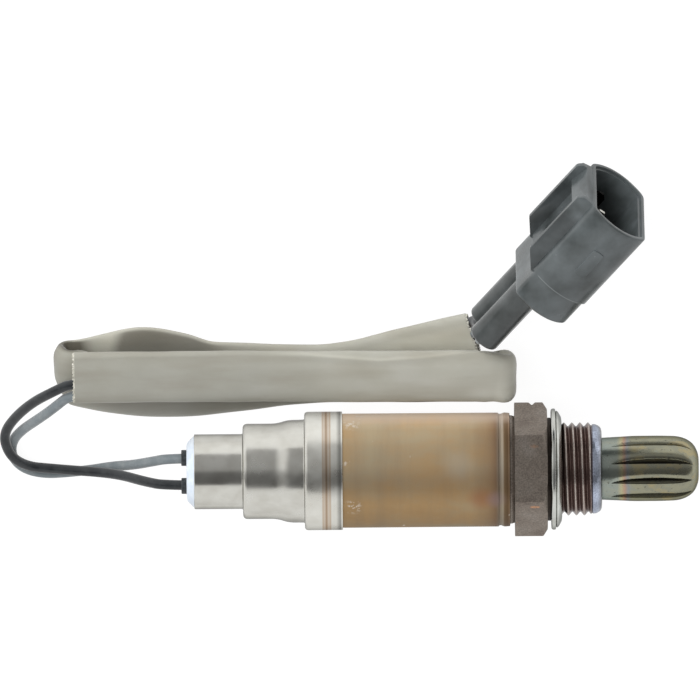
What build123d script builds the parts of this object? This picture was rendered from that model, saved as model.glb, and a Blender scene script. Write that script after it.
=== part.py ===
from build123d import *
import math
import os

# Two-wire exhaust oxygen sensor with its lead set and connector, in millimetres.
# +X runs along the sensor to its tip, +Z is up and the sensor lies on its hexagon.
# The origin is under the middle of the sensor, on the surface that it lies on.

# Clearances
PRESS_GAP = 0.02
SLIDE_GAP = 0.05
LOOSE_GAP = 0.15

# Lengths along the sensor, from the leads to the tip
SEAL_STUB = 1.0
GROMMET_CONE = 1.43
SHELL_STEP_1 = 9.14
SHELL_STEP_2 = 6.44
SHELL_FLARE = 2.26
SHELL_FLARE_LAND = 2.91
SHELL_STEP_3 = 7.14
SLEEVE_EXPOSED = 31.49
NECK = 0.88
HEXAGON = 6.17
COLLAR = 0.66
GASKET_THICKNESS = 2.06
THREAD = 5.64
PILOT = 1.88
TUBE_EXPOSED = 18.24

# Diameters and widths of the sensor
GROMMET_TIP_D = 10.9
GROMMET_CONE_D = 13.5
SHELL_D_1 = 14.1
SHELL_D_2 = 17.95
SHELL_D_FLARE = 19.45
SHELL_WALL = 0.38
SLEEVE_D = 21.5
SLEEVE_WALL = 0.5
ACROSS_FLATS = 22.0
HEX_CHAMFER_REAR = 0.35
HEX_CHAMFER_FRONT = 0.9
COLLAR_D = 19.4
THREAD_D = 18.0
RELIEF_D = 16.2
PILOT_WALL = 2.52
GASKET_D = 22.8
TUBE_ROOT_D = 11.75
TUBE_D = 12.5
TUBE_WALL = 0.5
PILOT_D = TUBE_ROOT_D + 2 * PILOT_WALL

# Inside the sensor
SKIRT_D = 17.2
BODY_BORE_D = 13.8
TIP_BORE_D = 9.6
SEAT_DEPTH = 8.1
TUBE_SEAT = 4.9
THIMBLE_TIP_D = 5.6
THIMBLE_NECK_D = 7.2
THIMBLE_TAIL_D = 7.7
THIMBLE_FLANGE_D = 13.2
THIMBLE_FLANGE = 3.5
THIMBLE_TAIL = 8.7
THIMBLE_BORE_D = 4.2
THIMBLE_TIP_GAP = 3.6
SEAL_RING = 0.6
TALC = 6.0
SUPPORT_TUBE = 15.4
SUPPORT_BORE_D = 8.8
SPRING_HEIGHT = 1.1
SPRING_SHEET = 0.5
CRIMP_LIP = 0.9
CRIMP_BORE_D = 10.8
BUSH_FLANGE = 0.8
INSULATOR_FLANGE = 10.7
INSULATOR_BARREL = 5.9
GROMMET_DEPTH = 10.2
TERMINAL_STRIP_W = 1.6
TERMINAL_STRIP_T = 0.5
CRIMP_WALL = 0.35
CRIMP_LENGTH = 3.4

# Leads and heat sleeve
LEAD_D = 1.9
LEAD_PITCH = 5.26
LEAD_SEAL_D = 3.07
LEAD_SEAL_LENGTH = 3.5
HEAT_SLEEVE_W = 10.9
HEAT_SLEEVE_T = 3.4
HEAT_SLEEVE_WALL = 0.6

# The camera side of the sensor leans this far from straight up, and its leads lie square to it
ROLL = 34.0
HEX_ROLL = ROLL + 20.0

# Louvres of the protection tube
LOUVRES = 10
LOUVRE_WIDTH = 1.1
LOUVRE_ROOT = 1.9
LOUVRE_TIP_GAP = 1.3
LOUVRE_LIP = 1.2
LOUVRE_LEAN = 18.0
LOUVRE_TURN = 25.0

# Connector
CONNECTOR_HEADING = 51.86
CONNECTOR_REAR = (10.11, 28.52)
BARREL_HALF_T = 6.2
BARREL_HALF_H = 10.0
BARREL_ARC_R = 8.6
BARREL_CORNER_R = 1.9
BARREL_WALL = 1.3
RIM_R = 0.3
BARREL_FRONT = 38.2
BARREL_REAR = 20.1
CAVITY_FLOOR = 22.0
COLLAR_REAR = 13.8
COLLAR_SET_IN = 0.4
TOWER_D = 6.0
TOWER_PITCH = 6.2
TOWER_OFFSET = 2.4
TOWER_BORE_D = 4.2
WIRE_SEAL_START = 3.0
WIRE_SEAL_LENGTH = 3.8
WIRE_SEAL_RIBS = 3
RAIL_TOP = 9.1
RAIL_INNER_Z = 4.9
RAIL_T = 0.8
RAIL_FOOT = 1.5
RAIL_REAR = 19.3
RAIL_SLANT = 3.4
RAIL_FRONT_GAP = 0.2
LATCH_LENGTH = 4.0
LATCH_HEIGHT = 1.7
LUG_SIZE = (6.3, 2.4)
LUG_CORNER_R = 0.7
LUG_CENTRE = 29.0
LUG_HEIGHT = 0.3
BLADE_W = 2.3
BLADE_T = 0.6
BLADE_TIP_GAP = 2.0
BLADE_CRIMP_OVERLAP = 1.8
RETAINER_T = 2.2

# Stations on the sensor's axis
SENSOR_LENGTH = (SEAL_STUB + GROMMET_CONE + SHELL_STEP_1 + SHELL_STEP_2 + SHELL_FLARE
                 + SHELL_FLARE_LAND + SHELL_STEP_3 + SLEEVE_EXPOSED + NECK + HEXAGON + COLLAR
                 + GASKET_THICKNESS + THREAD + PILOT + TUBE_EXPOSED)
X_REAR = -SENSOR_LENGTH / 2
X_CONE = X_REAR + SEAL_STUB
X_SHELL = X_CONE + GROMMET_CONE
X_SHOULDER_1 = X_SHELL + SHELL_STEP_1
X_FLARE = X_SHOULDER_1 + SHELL_STEP_2
X_FLARE_TOP = X_FLARE + SHELL_FLARE
X_SHOULDER_2 = X_FLARE_TOP + SHELL_FLARE_LAND
X_SHELL_END = X_SHOULDER_2 + SHELL_STEP_3
X_SLEEVE_END = X_SHELL_END + SLEEVE_EXPOSED
X_HEX = X_SLEEVE_END + NECK
X_COLLAR = X_HEX + HEXAGON
X_GASKET = X_COLLAR + COLLAR
X_THREAD = X_GASKET + GASKET_THICKNESS
X_PILOT = X_THREAD + THREAD
X_FACE = X_PILOT + PILOT
X_TIP = X_FACE + TUBE_EXPOSED
X_SEAT = X_FACE - SEAT_DEPTH
X_FLANGE = X_SEAT - SEAL_RING
X_TALC = X_FLANGE - THIMBLE_FLANGE
X_SUPPORT = X_TALC - TALC
X_SPRING = X_SUPPORT - SUPPORT_TUBE
X_LIP = X_SPRING - SPRING_HEIGHT
X_THIMBLE_END = X_TALC - THIMBLE_TAIL
X_INSULATOR = X_SHOULDER_2 + SHELL_WALL
X_CRIMP = X_INSULATOR - INSULATOR_BARREL - LOOSE_GAP
X_LEAD_END = X_CRIMP - CRIMP_WALL - LOOSE_GAP

HEX_R = ACROSS_FLATS / math.sqrt(3)
AXIS_HEIGHT = HEX_R * math.cos(math.radians(180 - (HEX_ROLL + 120)))
SHELL_D_3 = SLEEVE_D + 2 * (SHELL_WALL + PRESS_GAP)
SLEEVE_BORE_R = SLEEVE_D / 2 - SLEEVE_WALL
LEAD_R = LEAD_D / 2
SEAL_BORE_R = LEAD_R + PRESS_GAP

# Direction from the axis to the grey lead's hole, and its place; the black lead's hole is opposite
HOLE_Y = math.cos(math.radians(ROLL))
HOLE_Z = -math.sin(math.radians(ROLL))
GREY_HOLE = (LEAD_PITCH / 2 * HOLE_Y, AXIS_HEIGHT + LEAD_PITCH / 2 * HOLE_Z)
BLACK_HOLE = (-LEAD_PITCH / 2 * HOLE_Y, AXIS_HEIGHT - LEAD_PITCH / 2 * HOLE_Z)

# Centre line of the heat sleeve: top layer, right fold, middle layer, left fold, bottom layer
SLEEVE_ROUTE = [
    (-68.5, 19.5, 9.55), (-41.0, 19.7, 9.6), (-13.0, 19.2, 9.5), (2.0, 19.4, 9.6), (9.0, 19.1, 9.55),
    (13.0, 18.4, 9.55), (13.0, 17.2, 5.65),
    (9.0, 16.4, 5.6), (2.0, 16.6, 5.7), (-12.0, 16.5, 5.6), (-26.0, 16.7, 5.7), (-37.5, 14.8, 5.65),
    (-49.0, 13.4, 5.65), (-60.0, 14.0, 5.65), (-67.0, 16.1, 5.65),
    (-71.0, 17.0, 5.65), (-71.0, 17.2, 1.75),
    (-67.0, 17.5, 1.75), (-61.0, 19.4, 1.8), (-54.5, 20.2, 1.75), (-48.0, 18.0, 1.8),
    (-41.0, 16.2, 1.75), (-29.0, 15.6, 1.8), (-18.0, 15.5, 1.75), (-7.0, 18.9, 1.8), (4.8, 22.4, 2.5),
]

# Free stretches of the leads between the grommet and the sleeve, and between sleeve and connector
BLACK_LOOP = [
    (-51.2, BLACK_HOLE[0], BLACK_HOLE[1]), (-55.6, -3.3, 10.9), (-60.0, -4.7, 6.6),
    (-64.4, -5.9, 3.8), (-69.0, -6.3, 2.6), (-73.6, -6.2, 2.0), (-77.6, -5.6, 2.2),
    (-80.6, -2.9, 3.3), (-82.0, 1.0, 3.3), (-81.9, 5.0, 3.3), (-79.9, 9.0, 4.4),
    (-76.5, 12.4, 6.6), (-72.8, 15.8, 8.9),
]
GREY_LOOP = [
    (-50.6, GREY_HOLE[0], GREY_HOLE[1]), (-54.2, -0.2, 8.8), (-57.8, -2.9, 5.9),
    (-61.6, -5.4, 2.6), (-65.5, -7.1, 1.2), (-70.0, -7.8, 1.0), (-74.6, -8.1, 1.0),
    (-78.6, -6.9, 1.0), (-80.9, -3.8, 1.0), (-80.5, 0.0, 1.4), (-78.5, 3.6, 3.2),
    (-75.9, 7.6, 6.2), (-73.0, 11.7, 8.8),
]
BLACK_BRIDGE = [(6.7, 27.4, 2.7)]
GREY_BRIDGE = [(7.4, 25.2, 3.4), (7.6, 27.2, 8.4)]
BLACK_SHIFT = (-0.9, 3.4)
GREY_SHIFT = (-3.0, 1.3)
BRIDGE_CORNER = 0.8
LEAD_IN_TOWER = 9.0


def turned(points):
    """Revolves a closed outline of (x, radius, corner radius) about the sensor's axis."""
    corners = [(x, r) for x, r, _ in points]
    radii = [fillet_r for _, _, fillet_r in points]
    outline = FilletPolyline(*corners, radius=radii, close=True)
    return Pos(0, 0, AXIS_HEIGHT) * revolve(make_face(outline), Axis.X)


def along_x(x, y, z, radius, length):
    """A round bar along X that starts at x, with its centre line at y and z."""
    return Pos(x, y, z) * extrude(Plane.YZ * Circle(radius), amount=length)


def arc_radii(points):
    """Radius of each arc of a route: 0.45 of the shorter run over the tangent of half the turn."""
    radii = []
    for before, here, after in zip(points, points[1:], points[2:]):
        run_in = Vector(*here) - Vector(*before)
        run_out = Vector(*after) - Vector(*here)
        half_turn = math.radians(run_in.get_angle(run_out)) / 2
        radii.append(0.45 * min(run_in.length, run_out.length) / math.tan(half_turn))
    return radii


def routed(points):
    return FilletPolyline(*points, radius=arc_radii(points))


# Sensor

def protection_tube():
    """Louvred cap: a drawn tube with a domed end, slit and pressed in along one side of each slit."""
    root = TUBE_ROOT_D / 2
    full = TUBE_D / 2
    start = X_FACE - TUBE_SEAT
    dome = full - TUBE_WALL - 1.0
    tube = turned([
        (start, root, 0), (X_FACE + LOUVRE_ROOT, root, 6), (X_FACE + 2.5 * LOUVRE_ROOT, full, 6),
        (X_TIP, full, dome + TUBE_WALL), (X_TIP, 0, 0), (X_TIP - TUBE_WALL, 0, 0),
        (X_TIP - TUBE_WALL, full - TUBE_WALL, dome),
        (X_FACE + 2.5 * LOUVRE_ROOT, full - TUBE_WALL, 6),
        (X_FACE + LOUVRE_ROOT, root - TUBE_WALL, 6), (start, root - TUBE_WALL, 0),
    ])
    slot_start = X_FACE + LOUVRE_ROOT
    slot_length = X_TIP - LOUVRE_TIP_GAP - slot_start
    slot = extrude(
        Plane.XY * Pos(slot_start + slot_length / 2, 0) * SlotOverall(slot_length, LOUVRE_WIDTH),
        amount=TUBE_D,
    )
    lip_length = slot_length - 2 * LOUVRE_WIDTH - dome
    lip_top = full - TUBE_WALL / 2
    lip = Rot(LOUVRE_LEAN, 0, 0) * Box(lip_length, TUBE_WALL, LOUVRE_LIP)
    lip = Pos(slot_start + LOUVRE_WIDTH + lip_length / 2, LOUVRE_WIDTH / 2, lip_top - LOUVRE_LIP / 2) * lip
    for n in range(LOUVRES):
        turn = Rot(LOUVRE_TURN + n * 360 / LOUVRES, 0, 0)
        tube -= Pos(0, 0, AXIS_HEIGHT) * turn * slot
        tube += Pos(0, 0, AXIS_HEIGHT) * turn * lip
    return tube


def sensor_body():
    """Turned steel body: crimped skirt, sleeve seat, hexagon, collar, thread and pilot end."""
    seat_r = SLEEVE_BORE_R - SLIDE_GAP
    skirt_r = SKIRT_D / 2
    thread_r = THREAD_D / 2
    bore_r = BODY_BORE_D / 2
    tube_r = TUBE_ROOT_D / 2 + PRESS_GAP
    rear = X_LIP - CRIMP_LIP
    seat_start = X_SLEEVE_END - 5.0
    body = turned([
        (rear, CRIMP_BORE_D / 2, 0), (rear, skirt_r, 0.8), (seat_start - 1.0, skirt_r, 0),
        (seat_start, seat_r, 0.3), (X_HEX + 1.0, seat_r, 0),
        (X_HEX + 1.0, COLLAR_D / 2, 0), (X_GASKET, COLLAR_D / 2, 0.15),
        (X_GASKET, RELIEF_D / 2, 0), (X_THREAD - 0.5, RELIEF_D / 2, 0),
        (X_THREAD + 0.1, thread_r, 0), (X_PILOT - 0.4, thread_r, 0),
        (X_PILOT, PILOT_D / 2, 0), (X_PILOT + 0.35 * PILOT, PILOT_D / 2, 0.5),
        (X_FACE, PILOT_D / 2 - PILOT_WALL / 2, 0.5), (X_FACE, tube_r, 0),
        (X_FACE - TUBE_SEAT, tube_r, 0), (X_FACE - TUBE_SEAT, TIP_BORE_D / 2, 0),
        (X_SEAT, TIP_BORE_D / 2, 0), (X_SEAT, bore_r, 0), (X_LIP, bore_r, 0),
        (X_LIP, CRIMP_BORE_D / 2, 0),
    ])
    hexagon = Plane.YZ * RegularPolygon(HEX_R, 6, rotation=90 - HEX_ROLL)
    nut = Pos(X_HEX, 0, AXIS_HEIGHT) * extrude(hexagon, amount=HEXAGON)
    chamfer_r = ACROSS_FLATS / 2 + 0.15
    nut &= turned([
        (X_HEX, 0, 0), (X_HEX, chamfer_r, 0), (X_HEX + HEX_CHAMFER_REAR, HEX_R + 0.2, 0),
        (X_COLLAR - HEX_CHAMFER_FRONT, HEX_R + 0.2, 0), (X_COLLAR, chamfer_r, 0), (X_COLLAR, 0, 0),
    ])
    nut -= along_x(X_HEX - 1, 0, AXIS_HEIGHT, COLLAR_D / 2 - 1.0, HEXAGON + 2)
    notch_angle = math.radians(HEX_ROLL + 60)
    notch = Pos(X_HEX + 0.56 * HEXAGON, HEX_R * math.sin(notch_angle),
                AXIS_HEIGHT + HEX_R * math.cos(notch_angle)) * Rot(-(HEX_ROLL + 60), 0, 0)
    nut -= notch * Rot(0, 45, 0) * Box(0.9, 4.0, 0.9)
    return body + nut


def gasket():
    """Folded sealing ring: its two lips show as a seam round the edge."""
    bore = THREAD_D / 2 + SLIDE_GAP
    edge = GASKET_D / 2
    seam = X_GASKET + 0.45 * GASKET_THICKNESS
    return turned([
        (X_GASKET, bore, 0), (X_GASKET, edge - 0.5, 0.35), (X_GASKET + 0.25, edge, 0.3),
        (seam, edge - 0.05, 0.1), (seam + 0.05, edge - 0.55, 0.04), (seam + 0.2, edge - 0.3, 0.1),
        (X_THREAD - 0.35, edge - 1.0, 0.3), (X_THREAD, edge - 1.4, 0.1), (X_THREAD, bore, 0),
    ])


def protective_sleeve():
    """Heat-tinted sleeve: pushed into the rear shell, beaded and rolled at the hexagon end."""
    outer = SLEEVE_D / 2
    start = X_INSULATOR + LOOSE_GAP
    groove = X_SLEEVE_END - 2.07
    return turned([
        (start, SLEEVE_BORE_R, 0), (start, outer, 0.2), (groove, outer, 0.1),
        (groove + 0.15, outer - 0.22, 0), (groove + 0.5, outer - 0.22, 0),
        (groove + 0.7, outer - 0.02, 0.3), (X_SLEEVE_END, outer - 0.02, 0.42),
        (X_SLEEVE_END, SLEEVE_BORE_R, 0),
    ])


def rear_shell():
    """Stepped shell drawn from one cup, with a flare, soft shoulders and a rolled lead end."""
    w = SHELL_WALL
    outer = [
        (X_SHELL, SHELL_D_1 / 2, 0.3), (X_SHOULDER_1, SHELL_D_1 / 2, 0.3),
        (X_SHOULDER_1, SHELL_D_2 / 2, 0.9), (X_FLARE, SHELL_D_2 / 2, 3),
        (X_FLARE_TOP, SHELL_D_FLARE / 2, 3), (X_SHOULDER_2, SHELL_D_FLARE / 2, 0.3),
        (X_SHOULDER_2, SHELL_D_3 / 2, 0.9), (X_SHELL_END, SHELL_D_3 / 2, 0.3),
    ]
    inner = [
        (X_SHELL_END, SHELL_D_3 / 2 - w, 0), (X_SHOULDER_2 + w, SHELL_D_3 / 2 - w, 0),
        (X_SHOULDER_2 + w, SHELL_D_FLARE / 2 - w, 0.3), (X_FLARE_TOP, SHELL_D_FLARE / 2 - w, 3),
        (X_FLARE, SHELL_D_2 / 2 - w, 3), (X_SHOULDER_1 + w, SHELL_D_2 / 2 - w, 0.5),
        (X_SHOULDER_1 + w, SHELL_D_1 / 2 - w, 0.3), (X_SHELL, SHELL_D_1 / 2 - w, 0),
    ]
    return turned(outer + inner)


def grommet():
    """End plug: a barrel in the shell and a cone outside it, with a hole for each lead."""
    barrel_r = SHELL_D_1 / 2 - SHELL_WALL - PRESS_GAP
    plug = turned([
        (X_CONE, 0, 0), (X_CONE, GROMMET_TIP_D / 2, 0.5), (X_SHELL, GROMMET_CONE_D / 2, 0),
        (X_SHELL, barrel_r, 0), (X_SHELL + GROMMET_DEPTH, barrel_r, 0.3),
        (X_SHELL + GROMMET_DEPTH, 0, 0),
    ])
    for y, z in (GREY_HOLE, BLACK_HOLE):
        plug -= along_x(X_REAR, y, z, LEAD_R + SLIDE_GAP, 20)
        plug -= along_x(X_REAR, y, z, LEAD_SEAL_D / 2 + PRESS_GAP, LEAD_SEAL_LENGTH)
    return plug


def lead_seal(hole):
    """Rubber collar between a lead and its hole in the end plug."""
    y, z = hole
    ring = along_x(X_REAR, y, z, LEAD_SEAL_D / 2, LEAD_SEAL_LENGTH)
    ring = fillet(ring.edges().filter_by(GeomType.CIRCLE).sort_by(Axis.X)[0], 0.3)
    return ring - along_x(X_REAR - 1, y, z, SEAL_BORE_R, LEAD_SEAL_LENGTH + 2)


# Inside the sensor

def zirconia_thimble():
    """Ceramic sensing element: a closed tube with a flange that seats in the body."""
    tip = X_TIP - THIMBLE_TIP_GAP
    bore = THIMBLE_BORE_D / 2
    tail = THIMBLE_TAIL_D / 2
    return turned([
        (tip, 0, 0), (tip, THIMBLE_TIP_D / 2, 2.4), (X_SEAT, THIMBLE_NECK_D / 2, 0.3),
        (X_FLANGE, THIMBLE_NECK_D / 2 + 0.4, 0), (X_FLANGE, THIMBLE_FLANGE_D / 2, 0.3),
        (X_TALC, THIMBLE_FLANGE_D / 2, 0.3), (X_TALC, tail, 0), (X_THIMBLE_END, tail, 0.2),
        (X_THIMBLE_END, bore, 0.2), (tip - 1.2, bore - 0.5, 1.2), (tip - 1.2, 0, 0),
    ])


def thimble_seal_ring():
    """Soft metal ring between the thimble's flange and the seat in the body."""
    inner = THIMBLE_NECK_D / 2 + 0.4 + LOOSE_GAP
    outer = BODY_BORE_D / 2 - SLIDE_GAP
    return turned([
        (X_FLANGE, inner, 0), (X_FLANGE, outer, 0.1), (X_SEAT, outer, 0.1), (X_SEAT, inner, 0),
    ])


def talc_ring():
    """Pressed powder packing behind the flange."""
    inner = THIMBLE_TAIL_D / 2 + PRESS_GAP
    outer = BODY_BORE_D / 2 - PRESS_GAP
    return turned([(X_SUPPORT, inner, 0), (X_SUPPORT, outer, 0), (X_TALC, outer, 0), (X_TALC, inner, 0)])


def support_tube():
    """Ceramic tube that holds the packing under load."""
    inner = SUPPORT_BORE_D / 2
    outer = BODY_BORE_D / 2 - LOOSE_GAP
    return turned([
        (X_SPRING, inner, 0.3), (X_SPRING, outer, 0.3), (X_SUPPORT, outer, 0), (X_SUPPORT, inner, 0),
    ])


def disc_spring():
    """Conical spring washer between the support tube and the crimped lip."""
    inner = CRIMP_BORE_D / 2 - 0.6
    outer = BODY_BORE_D / 2 - LOOSE_GAP
    return turned([
        (X_LIP, outer, 0), (X_LIP + SPRING_SHEET, outer, 0), (X_SPRING, inner, 0),
        (X_SPRING - SPRING_SHEET, inner, 0),
    ])


def contact_bush():
    """Metal plug in the thimble's mouth that meets the inner electrode."""
    stem = THIMBLE_BORE_D / 2 - SLIDE_GAP
    rear = X_THIMBLE_END - BUSH_FLANGE
    return turned([
        (rear, 0, 0), (rear, THIMBLE_TAIL_D / 2 - 0.4, 0.2), (X_THIMBLE_END, THIMBLE_TAIL_D / 2 - 0.4, 0),
        (X_THIMBLE_END, stem, 0), (X_THIMBLE_END + 4.5, stem - 0.1, 0.3), (X_THIMBLE_END + 4.5, 0, 0),
    ])


def terminal_insulator():
    """Ceramic block in the shell: a flange against the shoulder and a barrel with two bores."""
    barrel = SHELL_D_2 / 2 - SHELL_WALL - LOOSE_GAP
    flange = SLEEVE_BORE_R - LOOSE_GAP
    block = turned([
        (X_INSULATOR - INSULATOR_BARREL, 0, 0), (X_INSULATOR - INSULATOR_BARREL, barrel, 0.5),
        (X_INSULATOR, barrel, 0), (X_INSULATOR, flange, 0.3),
        (X_INSULATOR + INSULATOR_FLANGE, flange, 0.5), (X_INSULATOR + INSULATOR_FLANGE, 0, 0),
    ])
    bore = TERMINAL_STRIP_W / 2 + 0.45
    for y, z in (GREY_HOLE, BLACK_HOLE):
        block -= along_x(X_REAR, y, z, bore, SENSOR_LENGTH)
    return block


def terminal(side, strip_points):
    """Crimped terminal: a barrel on the lead's end and a strip, bent in the plane of the holes."""
    reach = side * LEAD_PITCH / 2
    barrel = Pos(X_CRIMP - CRIMP_LENGTH, reach, 0) * extrude(
        Plane.YZ * Circle(SEAL_BORE_R + CRIMP_WALL), amount=CRIMP_LENGTH)
    barrel -= Pos(X_CRIMP - CRIMP_LENGTH - 1, reach, 0) * extrude(
        Plane.YZ * Circle(SEAL_BORE_R), amount=CRIMP_LENGTH + 1 - CRIMP_WALL)
    points = [(X_CRIMP - CRIMP_WALL / 2, reach)] + strip_points
    strip = Polyline(*points)
    profile = trace(strip, TERMINAL_STRIP_T)
    blade = extrude(profile, amount=TERMINAL_STRIP_W / 2, both=True)
    return barrel + blade


def in_hole_plane(shape):
    """Turns a shape from the XY plane to the plane that holds the axis and both holes."""
    return Pos(0, 0, AXIS_HEIGHT) * Rot(-ROLL, 0, 0) * shape


def signal_terminal():
    """Terminal of the black lead: runs straight forward, then in to the contact bush."""
    foot = X_THIMBLE_END - BUSH_FLANGE - TERMINAL_STRIP_T / 2
    return in_hole_plane(terminal(-1, [(foot, -LEAD_PITCH / 2), (foot, -0.3)]))


def ground_terminal():
    """Terminal of the grey lead: steps out to a ring round the thimble's tail."""
    tail = THIMBLE_TAIL_D / 2 + PRESS_GAP
    ring_wall = 0.3
    reach = tail + TERMINAL_STRIP_T / 2
    shape = terminal(1, [
        (X_LIP - 6.0, LEAD_PITCH / 2), (X_LIP - 2.0, reach - 0.1), (X_THIMBLE_END + 0.4, reach - 0.1),
    ])
    ring = turned([
        (X_THIMBLE_END + 0.1, tail, 0), (X_THIMBLE_END + 0.1, tail + ring_wall, 0),
        (X_THIMBLE_END + 2.4, tail + ring_wall, 0), (X_THIMBLE_END + 2.4, tail, 0),
    ])
    clear = along_x(X_THIMBLE_END - 1, 0, AXIS_HEIGHT, tail, 5)
    return in_hole_plane(shape) - clear + ring


# Leads and heat sleeve

def connector_point(x, y, z):
    """A point given along the connector, towards its latch side, and up from its middle."""
    a = math.radians(CONNECTOR_HEADING)
    return (CONNECTOR_REAR[0] + x * math.cos(a) - y * math.sin(a),
            CONNECTOR_REAR[1] + x * math.sin(a) + y * math.cos(a),
            BARREL_HALF_H + z)


def lead_route(hole, loop, shift, bridge, tower_z):
    """The crimp, the free loop, the way through the sleeve and the way into the tower."""
    start = (X_LEAD_END, hole[0], hole[1])
    last = len(SLEEVE_ROUTE) - 1
    inside = []
    for n, (x, y, z) in enumerate(SLEEVE_ROUTE):
        inside.append((x, y + shift[0] + (shift[1] - shift[0]) * n / last, z))
    corner = connector_point(-BRIDGE_CORNER, TOWER_OFFSET, tower_z)
    end = connector_point(LEAD_IN_TOWER, TOWER_OFFSET, tower_z)
    return [start] + loop + inside + bridge + [corner, end]


def lead(route):
    path = routed(route)
    return sweep(Plane(origin=path @ 0, z_dir=path % 0) * Circle(LEAD_R), path=path)


def heat_sleeve():
    """Flat flexible tube, swept with its width kept level by a guide beside its centre line."""
    path = routed(SLEEVE_ROUTE)
    guide = routed([(x, y + 2 * HEAT_SLEEVE_W, z) for x, y, z in SLEEVE_ROUTE])
    w, t, wall = HEAT_SLEEVE_W, HEAT_SLEEVE_T, HEAT_SLEEVE_WALL
    section = SlotOverall(w, t) - SlotOverall(w - 2 * wall, t - 2 * wall)
    place = Plane(origin=path @ 0, x_dir=(0, 1, 0), z_dir=path % 0)
    return sweep(place * section, path=path, binormal=guide.wire())


# Connector, drawn along +X with its latch side at +Y, then laid in its place

def oval(inset):
    """Flat-sided oval of the housing: two flats, two arcs and rounded corners."""
    half_t = BARREL_HALF_T - inset
    half_h = BARREL_HALF_H - inset
    arc_r = BARREL_ARC_R - inset
    corner_z = half_h - arc_r + math.sqrt(arc_r ** 2 - half_t ** 2)
    outline = [
        Line((half_t, -corner_z), (half_t, corner_z)),
        ThreePointArc((half_t, corner_z), (0, half_h), (-half_t, corner_z)),
        Line((-half_t, corner_z), (-half_t, -corner_z)),
        ThreePointArc((-half_t, -corner_z), (0, -half_h), (half_t, -corner_z)),
    ]
    face = make_face(Curve() + outline)
    return fillet(face.vertices(), max(BARREL_CORNER_R - inset, 0.3))


def oval_block(inset, start, end):
    return Pos(start, 0, 0) * extrude(Plane.YZ * oval(inset), amount=end - start)


def tower_centres():
    return [(TOWER_OFFSET, side * TOWER_PITCH / 2) for side in (1, -1)]


def laid(shape):
    """Turns a shape from the connector's own axes to its place."""
    return Pos(*CONNECTOR_REAR, BARREL_HALF_H) * Rot(0, 0, CONNECTOR_HEADING) * shape


def connector_housing():
    """Moulded housing: open barrel, collar, two lead towers, latch ramp between rails, and a lug."""
    collar = oval_block(COLLAR_SET_IN, COLLAR_REAR, BARREL_REAR)
    collar = fillet(collar.edges().group_by(Axis.X)[0], 0.8)
    barrel = oval_block(0, BARREL_REAR, BARREL_FRONT)
    housing = collar + fillet(barrel.edges().group_by(Axis.X)[-1], RIM_R)
    for y, z in tower_centres():
        tower = along_x(0, y, z, TOWER_D / 2, COLLAR_REAR + 2)
        housing += fillet(tower.edges().filter_by(GeomType.CIRCLE).sort_by(Axis.X)[0], 0.5)
    rail_front = BARREL_FRONT - RAIL_FRONT_GAP
    side = make_face(FilletPolyline(
        (RAIL_REAR, BARREL_HALF_T - 1.2), (RAIL_REAR, BARREL_HALF_T), (RAIL_REAR + RAIL_SLANT, RAIL_TOP),
        (rail_front - 0.8, RAIL_TOP), (rail_front, RAIL_TOP - 1.0), (rail_front, BARREL_HALF_T - 1.2),
        radius=[0, 0, 0.8, 0.8, 0, 0], close=True))
    bar = make_face(Polyline(
        (BARREL_HALF_T - 1.2, RAIL_INNER_Z), (RAIL_TOP, RAIL_INNER_Z), (RAIL_TOP, RAIL_INNER_Z + RAIL_T),
        (BARREL_HALF_T - 0.2, RAIL_INNER_Z + RAIL_FOOT), (BARREL_HALF_T - 1.2, RAIL_INNER_Z + RAIL_FOOT),
        close=True))
    rail = Pos(RAIL_REAR, 0, 0) * extrude(Plane.YZ * bar, amount=rail_front - RAIL_REAR)
    rail &= extrude(side, amount=BARREL_HALF_H)
    housing += rail + mirror(rail, Plane.XY)
    ramp = make_face(Polyline(
        (rail_front - LATCH_LENGTH, BARREL_HALF_T - 0.5),
        (rail_front - LATCH_LENGTH, BARREL_HALF_T + LATCH_HEIGHT),
        (rail_front, BARREL_HALF_T + LATCH_HEIGHT - 0.6), (rail_front, BARREL_HALF_T - 0.5), close=True))
    housing += extrude(ramp, amount=RAIL_INNER_Z + RAIL_T / 2, both=True)
    lug_l, lug_w = LUG_SIZE
    lug = extrude(RectangleRounded(lug_l, lug_w, LUG_CORNER_R), amount=1 + LUG_HEIGHT)
    lug = fillet(lug.edges().group_by(Axis.Z)[-1], LUG_HEIGHT / 2)
    housing += Pos(LUG_CENTRE, 0, BARREL_HALF_H - 1) * lug
    housing -= oval_block(BARREL_WALL, CAVITY_FLOOR, BARREL_FRONT + 1)
    mouth = oval_block(BARREL_WALL - 0.5, BARREL_FRONT - 0.5, BARREL_FRONT + 1)
    housing -= mouth
    passage_r = math.hypot(BLADE_W, BLADE_T) / 2 + LOOSE_GAP
    crimp_r = SEAL_BORE_R + CRIMP_WALL
    for y, z in tower_centres():
        housing -= along_x(-1, y, z, TOWER_BORE_D / 2, 1 + WIRE_SEAL_START + WIRE_SEAL_LENGTH)
        housing -= along_x(0, y, z, max(passage_r, crimp_r + LOOSE_GAP), CAVITY_FLOOR + 1)
    return laid(housing)


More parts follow.
